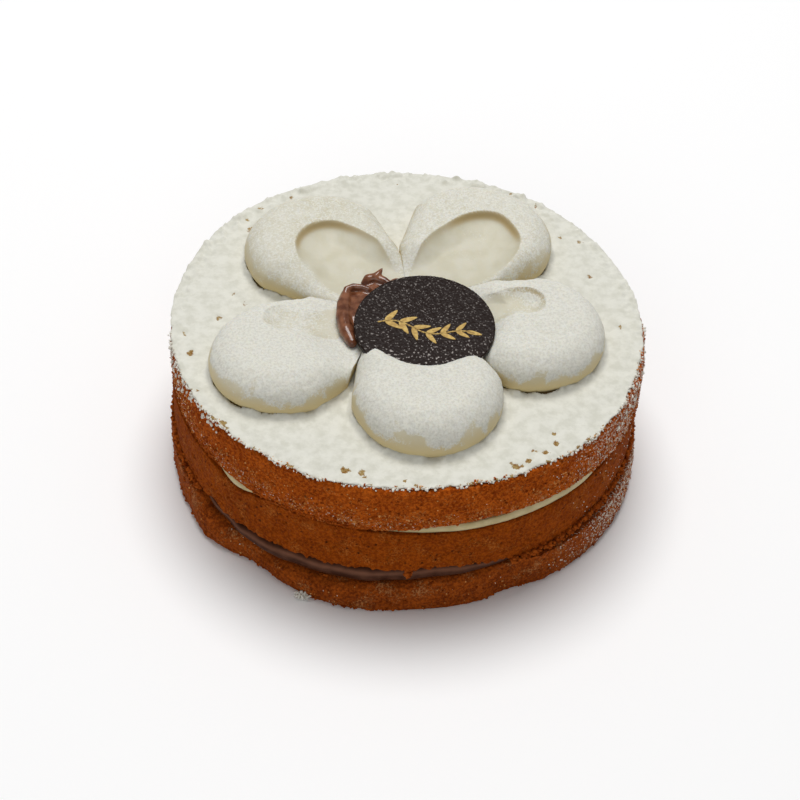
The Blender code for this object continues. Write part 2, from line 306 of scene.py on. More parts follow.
def turnedLayer(name, rowsAt, steps, segments):
    # rowsAt(angle) gives rows of (radius, height) from the middle of the underside,
    # round the side, to the middle of the top; steps: rings from each row to the next
    stops = np.concatenate([k + np.arange(n) / n for k, n in enumerate(steps)] + [[len(steps)]])

    def place(angle, ring):
        rows = rowsAt(angle)
        radii = np.array([np.broadcast_to(row[0], angle.shape) for row in rows])
        heights = np.array([np.broadcast_to(row[1], angle.shape) for row in rows])
        stop = stops[ring]
        low = np.minimum(stop.astype(int), len(rows) - 2)
        share = stop - low
        every = np.arange(len(angle))
        radius = radii[low, every] * (1 - share) + radii[low + 1, every] * share
        height = heights[low, every] * (1 - share) + heights[low + 1, every] * share
        return np.stack([radius * np.cos(angle), radius * np.sin(angle), height], 1)

    return formedMesh(name, segments, len(stops) - 1, place)


def levelRows(surface, angle, offset):
    return [(radius, surface(radius, angle) + offset) for radius in cake["rings"]]


def spongeMaterial(name, look):
    material, wire, feed = newMaterial(name, {"Roughness": look["roughness"], "Specular IOR Level": 0.04})
    broad = wire.grain(9 * mm, 3).step(0.35, 0.65)
    mottle = wire.grain(1.2 * mm, 3, 0.7).step(0.41, 0.6)
    base = wire.mixed(broad * 0.3 + mottle * 0.7, look["dark"], look["light"])
    crumbs = wire.grain(0.9 * mm, 3, 0.7) + (wire.painted("crumbly") - 0.5) * 0.25
    base = wire.mixed(crumbs.step(0.55, 0.7) * 0.8, base, look["crumb"])
    # the pores are dented by the bump and painted dark, as shade inside the holes
    shadedPores = (1 - wire.cells(3.2 * mm).step(0.1, 0.24)) * wire.grain(7 * mm).step(0.45, 0.55)
    base = wire.mixed(shadedPores * look["poreShade"], base, tone(52, 20, 4))
    dust = wire.painted("dust")
    flour = wire.grain(1.1 * mm, 3, 0.7) * 1.5 - 0.25 + dust * 0.42
    flour = flour.step(0.76, 0.86) * dust.step(0.02, 0.3)
    feed("Base Color", wire.mixed(flour * 0.9, base, tone(212, 198, 180)))
    height = wire.grain(0.7 * mm, 3, 0.6) + wire.grain(1.5 * mm, 3, 0.7) * 0.9
    height = height + crumbs.step(0.55, 0.7) * 0.4 - shadedPores * 0.5
    feed("Normal", wire.bump(height, 0.6 * mm, 0.9))
    return material


def spongeRelief(points, look):
    # lumps, broad swells and a fine grain
    lumpSeed, broadSeed, fineSeed = look["seeds"]
    relief = look["lumpDepth"] * (0.45 - grainsAt(points, look["lumpSize"], lumpSeed))
    relief += look["broadDepth"] * noiseAt(points, look["broadSize"], broadSeed)
    return relief + look["fineDepth"] * noiseAt(points, look["fineSize"], fineSeed)


def finishSponge(name, mesh, look, points, crumbly):
    item = linkPiece(name, mesh, spongeMaterial(name, look), [look["node"]])
    paint(item, "crumbly", crumbly)
    paint(item, "dust", sideDust(points))
    return item


def sideDust(points):
    # sugar that fell on the sides: heavy at the right, light at the front and left
    angle = np.degrees(angleOf(points))
    height = points[:, 2] / mm
    right = smoothStep((angle + 64) / 38) * smoothStep((75 - angle) / 40)
    turn = angle % 360
    high = smoothStep((198 - turn) / 15) * smoothStep((height - 44) / 5)
    left = smoothStep((turn - 120) / 50) * np.maximum(smoothStep((190 - turn) / 14), high)
    front = 0.28 * smoothStep((62 - height) / 12) * smoothStep((height - 45) / 4)
    ledge = 1.25 * smoothStep((24 - height) / 4) * smoothStep((height + 6) / 12)
    upper = smoothStep((height - 45) / 4)
    return np.maximum(right * np.clip(0.15 + 0.36 * ledge + 0.45 * upper, 0, 1), front) + 0.5 * left


topSpongeLook = {
    "node": "sponge_top", "segments": 1150, "seeds": (0, 1, 2), "poreShade": 0.5, "roughness": 0.9,
    "dark": tone(128, 50, 4), "light": tone(188, 92, 23), "crumb": tone(206, 140, 78),
    "lumpSize": 1.9 * mm, "lumpDepth": 0.75 * mm, "broadSize": 6 * mm, "broadDepth": 0.4 * mm,
    "fineSize": 0.9 * mm, "fineDepth": 0.12 * mm, "closing": 2 * mm, "inside": 1.4 * mm,
}


def rimRelief(angle):
    waves = np.sin(7 * angle + 1) + np.sin(19 * angle + 2) + np.sin(31 * angle)
    return 0.7 * mm * waves / 3


def buildTopSponge():
    look = topSpongeLook

    def rowsAt(angle):
        edge = cake["radius"] + swells(cake["topBulges"], angle)
        low = creamRoof(edge, angle)
        close = (1 - creamShows(angle)) * look["closing"]
        rim = cake["top"] + rimRelief(angle)
        inside = cake["top"] - look["inside"]
        return levelRows(creamRoof, angle, 0) + [
            (edge - 2.4 * mm, low - close),
            (edge - 0.5 * mm + 0.2 * close, low - close),
            (edge + 0.4 * mm - 0.15 * close, low + 1.4 * mm),
            (edge + 0.3 * mm, 0.5 * (low + rim)),
            (edge, rim - 2.4 * mm),
            (edge - 1.2 * mm, rim - 1 * mm),
            (edge - 2.9 * mm, rim - 0.9 * mm),
            (cake["rings"][-1], inside),
            (0, inside),
        ]

    steps = [1, 1, 1, 2, 3, 3, 17, 17, 4, 4, 4, 2]
    mesh = turnedLayer("topSponge", rowsAt, steps, look["segments"])
    points = readPoints(mesh)
    side = pastRadius(points, 94 * mm, 3 * mm)
    hanging = smoothStep((cake["topFloor"] + 6 * mm - points[:, 2]) / (5 * mm))
    roughen(mesh, side * spongeRelief(points, look))
    points = readPoints(mesh)
    hanging *= 0.3 + 0.7 * creamShows(angleOf(points))
    ragged = 0.5 + 0.5 * noiseAt(points * (1, 1, 0.2), 2.6 * mm, 3)
    points[:, 2] -= side * hanging * ragged * 0.9 * mm
    writePoints(mesh, points)
    keepInBox(mesh, look["node"])
    lower = smoothStep((61 * mm - points[:, 2]) / (7 * mm))
    crumbly = 0.3 + 0.25 * lower + 0.6 * noiseAt(points * (1, 1, 1.6), 6 * mm, 4)
    return finishSponge("topSponge", mesh, look, points, crumbly)


middleSpongeLook = {
    "node": "sponge_middle", "segments": 1100, "seeds": (17, 5, 6), "poreShade": 0.8, "roughness": 0.8,
    "dark": tone(116, 46, 1), "light": tone(160, 75, 10), "crumb": tone(184, 104, 42),
    "lumpSize": 2.2 * mm, "lumpDepth": 0.65 * mm, "broadSize": 11 * mm, "broadDepth": 0.4 * mm,
    "fineSize": 1.5 * mm, "fineDepth": 0.25 * mm, "poreSize": 3.4 * mm, "poreDepth": 0.7 * mm,
    "closingLow": 2.6 * mm, "closingHigh": 2 * mm,
}


def buildMiddleSponge():
    look = middleSpongeLook

    def rowsAt(angle):
        edge = cake["radius"] + swells(cake["middleBulges"], angle)
        low = chocolateRoof(edge, angle)
        high = creamFloor(edge, angle)
        closeLow = (1 - chocolateShows(angle)) * look["closingLow"]
        closeHigh = (1 - creamShows(angle)) * look["closingHigh"]
        return levelRows(chocolateRoof, angle, 0) + [
            (edge - 2.2 * mm, low - closeLow),
            (edge - 0.6 * mm + 0.2 * closeLow, low - closeLow),
            (edge + 0.4 * mm - 0.1 * closeLow, low + 1.4 * mm),
            (edge + 0.2 * mm, 0.5 * (low + high)),
            (edge + 0.15 * closeHigh, high - 1.2 * mm),
            (edge - 0.7 * mm + 0.35 * closeHigh, high + closeHigh),
            (edge - 2.6 * mm, high + closeHigh),
        ] + levelRows(creamFloor, angle, 0)[::-1]

    steps = [1, 1, 1, 2, 3, 4, 16, 16, 3, 2, 2, 1, 1, 1]
    mesh = turnedLayer("middleSponge", rowsAt, steps, look["segments"])
    points = readPoints(mesh)
    side = pastRadius(points, 94 * mm, 3 * mm)
    wells = 1 - smoothStep((grainsAt(points, look["poreSize"], 7) - 0.12) / 0.16)
    wells *= noiseAt(points, 9 * mm, 8) > -0.05
    roughen(mesh, side * (spongeRelief(points, look) - look["poreDepth"] * wells))
    points = readPoints(mesh)
    angle = angleOf(points)
    hanging = smoothStep((chocolateRoof(cake["radius"], angle) + 3 * mm - points[:, 2]) / (2.5 * mm))
    hanging *= 0.3 + 0.7 * chocolateShows(angle)
    drawn = points * (1, 1, 0.2)
    ragged = noiseAt(drawn, 2.2 * mm, 9) + 0.7 * noiseAt(drawn, 6 * mm, 10)
    points[:, 2] -= side * hanging * (ragged - 0.1) * 2.1 * mm
    writePoints(mesh, points)
    keepInBox(mesh, look["node"])
    return finishSponge("middleSponge", mesh, look, points, 0.4 + 0.9 * noiseAt(points, 6 * mm, 4))


bottomSpongeLook = {
    "node": "sponge_bottom", "segments": 1100, "seeds": (11, 12, 13), "poreShade": 0.3, "roughness": 0.7,
    "dark": tone(110, 45, 8), "light": tone(170, 82, 22), "crumb": tone(190, 126, 76),
    "lumpSize": 2.6 * mm, "lumpDepth": 0.8 * mm, "broadSize": 7 * mm, "broadDepth": 0.55 * mm,
    "fineSize": 1.2 * mm, "fineDepth": 0.14 * mm, "closing": 4 * mm, "shoulderIn": 2.6 * mm,
}


def buildBottomSponge():
    look = bottomSpongeLook

    def rowsAt(angle):
        edge = cake["bottomRadius"] + swells(cake["bottomBulges"], angle)
        roof = bottomRoof(edge, angle)
        closed = 1 - chocolateShows(angle)
        close = closed * look["closing"]
        # where the filling is hidden the shoulder reaches out to the sponge above
        above = cake["radius"] + swells(cake["middleBulges"], angle) + 0.9 * mm
        reachOut = np.minimum(above, edge - 0.6 * mm) - edge + look["shoulderIn"]
        shoulder = edge - look["shoulderIn"] + closed * reachOut
        ring = cake["shoulderRing"]
        return [(radius, 0) for radius in cake["rings"]] + [
            (edge - 1 * mm, 0),
            (edge, 1.4 * mm),
            (edge + 0.5 * mm, 0.4 * roof),
            (edge + 0.2 * mm, 0.7 * roof + 0.3 * close),
            (0.5 * (shoulder + edge) + 0.4 * mm, roof - 1.4 * mm + close),
            (shoulder, roof + close),
            (ring, bottomRoof(ring, angle) + close),
        ] + levelRows(bottomRoof, angle, 0)[::-1]

    steps = [1, 1, 1, 2, 3, 8, 8, 5, 4, 3, 2, 1, 1, 1]
    mesh = turnedLayer("bottomSponge", rowsAt, steps, look["segments"])
    points = readPoints(mesh)
    side = pastRadius(points, 96 * mm, 3 * mm) * smoothStep(points[:, 2] / (0.6 * mm))
    roughen(mesh, side * spongeRelief(points, look))
    keepInBox(mesh, look["node"])
    points = readPoints(mesh)
    return finishSponge("bottomSponge", mesh, look, points, 0.35 + 1.1 * noiseAt(points, 8 * mm, 14))


chocolateFillingLook = {
    # colour: the lighter streaks, and the painted highlight along the top of the bead
    "colour": tone(126, 84, 64), "deep": tone(60, 31, 18), "segments": 720,
    "edge": 99.6 * mm, "hiddenBy": 3 * mm, "gap": 0.1 * mm,
    "bead": 3 * mm, "beadRows": 11, "beadDrop": 0.6 * mm,
}


def buildChocolateFilling():
    look = chocolateFillingLook

    def rowsAt(angle):
        wave = 0.35 * mm * np.sin(23 * angle) * np.sin(9 * angle + 1)
        edge = look["edge"] + 0.1 * swells(cake["droop"], angle) + wave
        edge = edge - (1 - chocolateShows(angle)) * look["hiddenBy"]
        low = bottomRoof(cake["shoulderRing"], angle) + look["gap"]
        high = chocolateRoof(edge, angle) - look["gap"]
        middle = 0.5 * (low + high - look["beadDrop"])
        rise = high - look["beadDrop"] - middle
        rows = levelRows(bottomRoof, angle, look["gap"]) + [(cake["shoulderRing"] - 0.8 * mm, low)]
        for step in range(look["beadRows"]):
            turn = math.pi * ((step + 1) / (look["beadRows"] + 1) - 0.5)
            rows.append((edge + look["bead"] * (math.cos(turn) - 1), middle + rise * math.sin(turn)))
        return rows + levelRows(chocolateRoof, angle, -look["gap"])[::-1]

    steps = [1] * 5 + [2] * look["beadRows"] + [1] * 3
    mesh = turnedLayer("chocolateFilling", rowsAt, steps, look["segments"])
    points = readPoints(mesh)
    side = pastRadius(points, 95 * mm, 2 * mm)
    roughen(mesh, side * 0.22 * mm * noiseAt(points * (1, 1, 2), 7 * mm, 15))
    keepInBox(mesh, "filling_chocolate")
    material, wire, feed = newMaterial("chocolateFilling", {"Specular IOR Level": 0.05})
    # the bead's highlight is painted: a lighter band where its surface faces partly up, over random streaks
    streakAndHighlight = wire.grain(5 * mm, 3).step(0.3, 0.7) * 0.25 + wire.painted("paintedHighlight") * 0.7
    feed("Base Color", wire.mixed(streakAndHighlight, look["deep"], look["colour"]))
    feed("Roughness", 0.25 + wire.grain(3 * mm, 3) * 0.25)
    feed("Normal", wire.bump(wire.grain(2.2 * mm, 3), 0.25 * mm, 0.5))
    item = linkPiece("chocolateFilling", mesh, material, ["filling_chocolate"])
    up = readPoints(mesh, "normal")[:, 2]
    # painted highlight, strongest where the normal points a little upwards
    paint(item, "paintedHighlight", np.exp(-((up - 0.4) / 0.22) ** 2))


creamFillingLook = {
    "colour": tone(196, 180, 134), "shade": tone(180, 162, 114), "segments": 720,
    "edge": 99.7 * mm, "hiddenBy": 3 * mm, "gap": 0.05 * mm,
}


def buildCreamFilling():
    look = creamFillingLook

    def rowsAt(angle):
        hidden = (1 - creamShows(angle)) * look["hiddenBy"]
        edge = look["edge"] + 0.7 * swells(cake["middleBulges"], angle) - hidden
        low = creamFloor(edge, angle) + look["gap"]
        high = creamRoof(edge, angle) - look["gap"]
        return levelRows(creamFloor, angle, look["gap"]) + [
            (edge - 0.7 * mm, low),
            (edge - 0.1 * mm, 0.7 * low + 0.3 * high),
            (edge, 0.5 * (low + high)),
            (edge - 0.1 * mm, 0.3 * low + 0.7 * high),
            (edge - 0.7 * mm, high),
        ] + levelRows(creamRoof, angle, -look["gap"])[::-1]

    steps = [1, 1, 1, 2, 3, 3, 3, 3, 2, 1, 1, 1]
    mesh = turnedLayer("creamFilling", rowsAt, steps, look["segments"])
    points = readPoints(mesh)
    roughen(mesh, pastRadius(points, 95 * mm, 2 * mm) * 0.15 * mm * noiseAt(points, 6 * mm, 16))
    keepInBox(mesh, "filling_cream")
    material, wire, feed = newMaterial("creamFilling", {
        "Roughness": 0.5, "Subsurface Weight": 0.25, "Subsurface Radius": (1, 0.7, 0.4),
        "Subsurface Scale": 2 * mm})
    feed("Base Color", wire.mixed(wire.grain(6 * mm, 3).step(0.3, 0.7), look["shade"], look["colour"]))
    feed("Normal", wire.bump(wire.grain(1.5 * mm, 3), 0.2 * mm, 0.4))
    linkPiece("creamFilling", mesh, material, ["filling_cream"])


flower = {
    "floor": 70.3 * mm, "inner": 8.5 * mm, "belly": 4.4 * mm, "sharedBelly": 4.6 * mm,
    "undercut": 2.4 * mm, "tipRadius": 16 * mm, "leastRoll": 3.5 * mm, "mostRoll": 13 * mm,
    "uneven": 0.5 * mm, "gap": 0.05 * mm, "centre": (-1 * mm, -1 * mm), "segments": 330,
}
# lengths in mm; lip: the edge of the hollow, as (degrees from the hollow's middle,
# how far away, width over which it falls); cut and dish: the hollow's depth as
# shares of the height; coat: how much sugar lies on it; rise: between which
# distances it rises from the flower's middle; sag and trim: bumps that lower the
# top and move the outline
petals = {
    "petal_front": {
        "centre": (9.5, -50), "radius": 32, "height": 17.6, "hollow": (9, -47),
        "lip": ((0, 4, 12), (180, 4, 12)),
        "cut": 0, "dish": 0, "coat": 1.04, "rise": (14, 30), "sag": (), "trim": ((10, 40, -1.6),)},
    "petal_right": {
        "centre": (50.5, -11), "radius": 32, "height": 16.2, "hollow": (44, -1),
        "lip": (
            (-170, 45, 14), (-150, 26, 14), (-120, 14, 14), (-90, 9, 13), (-55, 11, 10), (-29, 14, 7),
            (-3, 13.6, 5), (20, 12.4, 4.2), (46, 10.4, 4), (87, 8, 4.5), (141, 8.4, 7), (165, 20, 9)),
        "cut": 0.46, "dish": 0.22, "coat": 0.98, "rise": (31, 50), "sag": ((95, 45, 2.5),), "trim": ()},
    "petal_back_right": {
        "centre": (28.5, 47), "radius": 32.5, "height": 16, "hollow": (27, 37),
        "lip": (
            (-179, 19.2, 6), (-157, 26, 8), (-146, 33, 10), (-126, 48, 14), (-100, 28, 14), (-75, 21, 14),
            (-45, 20, 13), (-15, 20, 9), (6, 20.3, 4), (18, 19.4, 2.8), (37, 19.4, 2.3), (58, 20.8, 2.3),
            (76, 19, 2.3), (97, 16.7, 2.5), (125, 14.7, 3.4), (152, 14.6, 5)),
        "cut": 0.56, "dish": 0.3, "coat": 0.6, "rise": (28, 44), "sag": ((-82, 40, 6.2),), "trim": ()},
    "petal_back_left": {
        "centre": (-40, 36), "radius": 32, "height": 16, "hollow": (-31, 28),
        "lip": (
            (-175, 18.8, 4), (-155, 18.5, 9), (-130, 18, 13), (-100, 20, 14), (-70, 30, 14), (-44, 48, 14),
            (-25, 30, 10), (-9, 21.4, 8), (8, 17.7, 6), (38, 13.7, 5), (72, 13.4, 3.6), (99, 15.8, 2.5),
            (121, 17.6, 2.3), (145, 18.6, 2.3), (167, 18.8, 2.6)),
        "cut": 0.52, "dish": 0.32, "coat": 0.52, "rise": (28, 44), "sag": ((-98, 44, 6.4),), "trim": ()},
    "petal_left": {
        "centre": (-51.5, -31.5), "radius": 31.5, "height": 15.6, "hollow": (-47, -20),
        "lip": (
            (-171, 13.2, 7), (-140, 11, 11), (-90, 8, 14), (-30, 12, 14), (0, 24, 14), (22, 48, 14),
            (40, 24, 10), (57, 12.5, 6), (90, 12, 5), (125, 12.3, 5), (160, 13, 6)),
        "cut": 0.36, "dish": 0.24, "coat": 0.96, "rise": (29, 50), "sag": ((85, 50, 4.5),),
        "trim": ((172, 42, -4.4),)},
}
swirlCentre = np.array((-3 * mm, -9 * mm))


def lipAt(name, angle):
    # distance of the hollow's lip from its middle, and the width of its wall
    lip = np.array(petals[name]["lip"])
    turns = np.arange(-180, 180, 2)
    soft = np.exp(-((np.arange(-15, 16) * 2) / 13) ** 2)
    found = []
    for column in (1, 2):
        values = np.interp(turns, lip[:, 0], lip[:, column], period=360)
        values = np.convolve(np.tile(values, 3), soft / soft.sum(), "same")[180:360]
        found.append(np.interp(np.degrees(angle), turns, values, period=360) * mm)
    return found


def petalReach(name, angle):
    # from the hollow's middle to the outline, which is a large round drawn out to a
    # small one at the flower's centre; and 1 where another petal cuts it short
    petal = petals[name]
    start = np.array(petal["hollow"]) * mm
    centre = np.array(petal["centre"]) * mm
    radius = petal["radius"] * mm
    way = np.stack([np.cos(angle), np.sin(angle)], 1)
    inward = np.array(flower["centre"]) - centre
    length = np.linalg.norm(inward)
    low = np.zeros_like(angle)
    high = np.full_like(angle, 2 * length + radius)
    for _ in range(30):
        middle = 0.5 * (low + high)
        points = start + middle[:, None] * way
        share = np.clip((points - centre) @ inward / length ** 2, 0, 1)
        allowed = radius - (radius - flower["tipRadius"]) * share
        inside = np.linalg.norm(points - centre - share[:, None] * inward, axis=1) < allowed
        low = np.where(inside, middle, low)
        high = np.where(inside, high, middle)
    reach = low + flower["uneven"] * np.sin(3 * angle + 5 * centre[0] / cake["radius"])
    reach += swells(petal["trim"], angle)
    free = reach.copy()
    for other in petals:
        if other == name:
            continue
        across = np.array(petals[other]["centre"]) * mm - centre
        share = radius / (radius + petals[other]["radius"] * mm)
        normal = across / np.linalg.norm(across)
        side = centre + share * across - flower["gap"] * normal
        towards = way @ normal
        limit = (side - start) @ normal / np.where(towards > 0.001, towards, 1)
        reach = np.where(towards > 0.001, np.minimum(reach, limit), reach)
    return reach, smoothStep((free - reach) / (3 * mm))


def petalTop(name, points):
    petal = petals[name]
    first, last = petal["rise"]
    # the front petal's tip lies under the disc, the others' under the swirl
    tip = np.array(disc["centre"])[:2] if name == "petal_front" else swirlCentre
    away = np.linalg.norm(points - tip, axis=1) / mm
    rise = smoothStep((away - first) / (last - first))
    offset = points - np.array(petal["hollow"]) * mm
    angle = angleOf(offset)

    def sunkAt(angle, out):
        lip, wall = lipAt(name, angle)
        fall = 1 - np.exp(-np.maximum(lip - out, 0) / (0.55 * wall))
        return petal["cut"] * fall + petal["dish"] * smoothStep((lip - out) / (13 * mm))

    out = np.linalg.norm(offset, axis=1)
    middle = sunkAt(np.linspace(-math.pi, math.pi, 90), 0).mean()
    sunk = middle + (sunkAt(angle, out) - middle) * smoothStep(out / (9 * mm))
    height = petal["height"] * mm - swells(petal["sag"], angle) * smoothStep(out / (15 * mm))
    return flower["inner"] + (height - flower["inner"]) * rise * (1 - sunk)


def petalMesh(name):
    petal = petals[name]
    middle = np.array(petal["hollow"]) * mm
    underRings, rollRings, innerRings = 10, 32, 56
    rings = 1 + underRings + rollRings + innerRings

    def place(angle, ring):
        reach, shared = petalReach(name, angle)
        belly = flower["belly"] + shared * flower["sharedBelly"]
        roll = np.clip(reach - lipAt(name, angle)[0], flower["leastRoll"], flower["mostRoll"])
        under = np.clip((ring - 1) / underRings, 0, 1) * math.pi / 2
        over = np.clip((ring - 1 - underRings) / rollRings, 0, 1) * math.pi / 2
        inward = np.clip((ring - 1 - underRings - rollRings) / innerRings, 0, 1)
        radius = reach - flower["undercut"] * (1 - np.sin(under)) - roll * (1 - np.cos(over))
        radius = np.where(inward > 0, (reach - roll) * (1 - inward), radius)
        radius = np.where(ring == 0, 0, radius)
        spots = middle + radius[:, None] * np.stack([np.cos(angle), np.sin(angle)], 1)
        lower = belly * (1 - np.cos(under))
        upper = belly + (petalTop(name, spots) - belly) * np.sin(over)
        height = np.where(over > 0, upper, lower)
        height = np.where(ring == 0, 0, height)
        return np.column_stack([spots, flower["floor"] + height])

    return formedMesh(name, flower["segments"], rings, place)


creamLook = {
    # flankShade: a darker, warmer cream painted on the steep flanks as shade
    "cream": tone(208, 204, 186), "creamShade": tone(199, 194, 172), "flankShade": tone(212, 194, 146),
    "shade": tone(172, 145, 88),
    "sugar": tone(223, 222, 212), "sugarShade": tone(208, 206, 195),
    "grainSize": 1.2 * mm, "grainDepth": 0.2 * mm,
}


def creamMaterial():
    look = creamLook
    material, wire, feed = newMaterial("dustedCream", {
        "Subsurface Weight": 0.2, "Subsurface Radius": (1, 0.75, 0.45), "Subsurface Scale": 2 * mm,
        "Specular IOR Level": 0.25})
    smooth = wire.mixed(wire.grain(9 * mm, 3).step(0.3, 0.7), look["creamShade"], look["cream"])
    # painted shade: the steeper the flank, the darker and warmer the cream
    smooth = wire.mixed(wire.painted("paintedFlankShade"), smooth, look["flankShade"])
    smooth = wire.mixed(wire.painted("lipShade"), smooth, look["shade"])
    coat = wire.mixed(wire.grain(1.1 * mm, 3, 0.7).step(0.35, 0.6), look["sugarShade"], look["sugar"])
    speck = (wire.grain(0.8 * mm, 3, 0.7) - 0.5) * 2.6 + (wire.grain(3 * mm, 2) - 0.5) * 0.8
    coated = (wire.painted("powder") * 1.3 - 0.15 + speck * 0.85).step(0.2, 0.8)
    feed("Base Color", wire.mixed(coated, smooth, coat))
    feed("Roughness", 0.45 + coated * 0.5)
    powder = wire.grain(0.7 * mm, 4, 0.75) * (0.25 + wire.painted("powder") * 0.75)
    feed("Normal", wire.bump(powder, 0.4 * mm, 0.7))
    return material


def petalShades(name, seed, points, up):
    # how much sugar lies on each point, and how deep it is in the lip's shade
    petal = petals[name]
    patchy = noiseAt(points, 11 * mm, 30 + seed) + 0.6 * noiseAt(points, 3.5 * mm, 35 + seed)
    coated = smoothStep((up + 0.02 + 0.5 * patchy) / 0.62)
    offset = points[:, :2] - np.array(petal["hollow"]) * mm
    lip, wall = lipAt(name, angleOf(offset))
    inside = lip - np.linalg.norm(offset, axis=1)
    bare = 1.1 * (petal["cut"] + petal["dish"]) * smoothStep((inside + 1 * mm) / (5 * mm))
    bare *= 0.8 + 1.1 * noiseAt(points, 12 * mm, 40 + seed)
    sharp = 1 - smoothStep((wall / mm - 2.5) / 4)
    under = np.exp(-((inside - 0.9 * mm) / (1.3 * mm)) ** 2)
    lipShade = 1.1 * petal["cut"] * (0.25 + sharp) * under * smoothStep((0.95 - up) / 0.25)
    powder = np.clip(coated * petal["coat"] - np.clip(bare, 0, 0.85) - 1.2 * lipShade, 0, 1)
    return powder, lipShade


def buildPetals():
    material = creamMaterial()
    look = creamLook
    for seed, name in enumerate(petals):
        mesh = petalMesh(name)
        points = readPoints(mesh)
        up = readPoints(mesh, "normal")[:, 2]
        powder, lipShade = petalShades(name, seed, points, up)
        away = smoothStep((points[:, 2] - flower["floor"]) / (1.5 * mm))
        soft = 0.35 * mm * noiseAt(points, 15 * mm, 20 + seed)
        grains = (0.45 - grainsAt(points, look["grainSize"], seed)) * look["grainDepth"]
        grains += 0.22 * mm * noiseAt(points, 2.6 * mm, seed)
        roughen(mesh, away * (soft + grains * (0.1 + 0.9 * powder)))
        keepInBox(mesh, name)
        item = linkPiece("cream_" + name, mesh, material, [name])
        paint(item, "powder", powder)
        # painted shade on the flanks, growing as the surface turns from up to sideways and down
        paint(item, "paintedFlankShade", 1 - smoothStep((up + 0.15) / 1))
        paint(item, "lipShade", lipShade)


sugarLook = {
    "colour": tone(222, 221, 211), "shade": tone(207, 206, 194),
    "pit": tone(160, 138, 90), "crust": tone(128, 84, 36),
    "segments": 820, "ragged": 0.75 * mm, "level": 70.15 * mm, "innerRing": 52 * mm,
    "pitScale": 1.5, "pitDepth": 0.45 * mm,
    # how far the sugar ends inside the rim, by degrees round the cake
    "inset": (
        (-165, 0.0), (-140, 0.3), (-113, 0.5), (-104, 1.4), (-88, 2.4), (-72, 2.7), (-58, 1.5), (-42, 0.6),
        (-30, 1.0), (-18, 1.8), (0, 1.0), (30, 0.1), (90, -0.3), (150, -0.3), (180, -0.1)),
    # pits in the sugar: x, y, size in mm
    "pits": (
        (-55.5, 78.2, 1.2), (-32.7, 78.6, 0.8), (-68.1, 69.4, 1.2), (-73.2, 61.3, 1.1), (-71.7, 54.5, 1.4),
        (-74.8, 10.9, 1.0), (-69.7, 4.5, 1.2), (-79.7, -4.8, 1.3), (-7.8, 90.6, 1.2), (9.7, 82.6, 1.0),
        (44.2, 88.9, 0.9), (55.5, 79.8, 1.1), (65.5, 58.8, 1.2), (74.8, 56.7, 1.0), (78.5, 34.1, 1.2),
        (60.9, -63.2, 0.7), (-89.6, -26.5, 1.2), (-93.0, -16.0, 1.0), (90.5, 2.0, 1.2), (89.0, -14.0, 0.8)),
    # bare places near the front edge: x, y, size in mm
    "holes": (
        (-21.8, -89.3, 1.6), (-15.1, -90.5, 1.5), (-13.6, -93.0, 1.0), (1.9, -93.7, 0.9), (6.3, -95.0, 0.8),
        (43.1, -81.1, 1.3), (45.5, -82.6, 1.7), (48.0, -82.2, 1.2), (50.3, -79.4, 1.3), (53.5, -73.8, 1.1),
        (57.1, -74.6, 1.2), (62.0, -69.3, 1.2), (-72.0, -66.5, 0.8), (-84.0, -50.0, 0.9)),
    # where brown shows at the petals' feet: x, y, reach and width in mm
    "crevices": (
        (-72.9, 37.3, 7, 1.6), (-69.8, 28.0, 7, 1.9), (-64.0, 16.0, 8, 1.9), (-58.0, 8.5, 6, 1.7),
        (-80.5, -36, 8, 1.3), (-75, -47, 9, 1.5), (-65, -56.5, 9, 1.6), (-54, -62, 9, 1.4),
        (-41, -59, 9, 0.9),
        (41, -37.5, 6, 1.3), (50, -41, 7, 1.7), (59, -42, 7, 1.9), (66, -36, 5, 0.7),
        (-17.5, -65, 6, 1.3), (59.5, 33.0, 6, 1.4)),
}


def sugarEdge(angle):
    # outline of the sugar: ragged, inside the rim in front and over it behind
    inset = np.array(sugarLook["inset"])
    edge = cake["radius"] + swells(cake["topBulges"], angle)
    spots = np.column_stack([np.cos(angle), np.sin(angle), 0 * angle]) * cake["radius"]
    ragged = noiseAt(spots, 5 * mm, 50) + 0.8 * noiseAt(spots, 1.7 * mm, 51)
    ragged += 0.5 * noiseAt(spots, 17 * mm, 52)
    front = smoothStep(0.55 - 0.8 * np.sin(angle))
    inside = np.interp(np.degrees(angle), inset[:, 0], inset[:, 1], period=360) * mm
    return edge - inside + sugarLook["ragged"] * ragged * (0.35 + 0.75 * front)


def petalGap(points):
    # distance outside the nearest petal's foot, negative beneath a petal
    nearest = np.full(len(points), 1.0)
    turns = np.linspace(-math.pi, math.pi, 721)
    for name in petals:
        offset = points - np.array(petals[name]["hollow"]) * mm
        reach = np.interp(angleOf(offset), turns, petalReach(name, turns)[0]) - flower["undercut"]
        nearest = np.minimum(nearest, np.linalg.norm(offset, axis=1) - reach)
    return nearest


def behindAt(angle):
    # 0 at the front and 1 at the back, where the sugar hangs over the rim
    return smoothStep(0.45 + 0.8 * np.sin(angle))


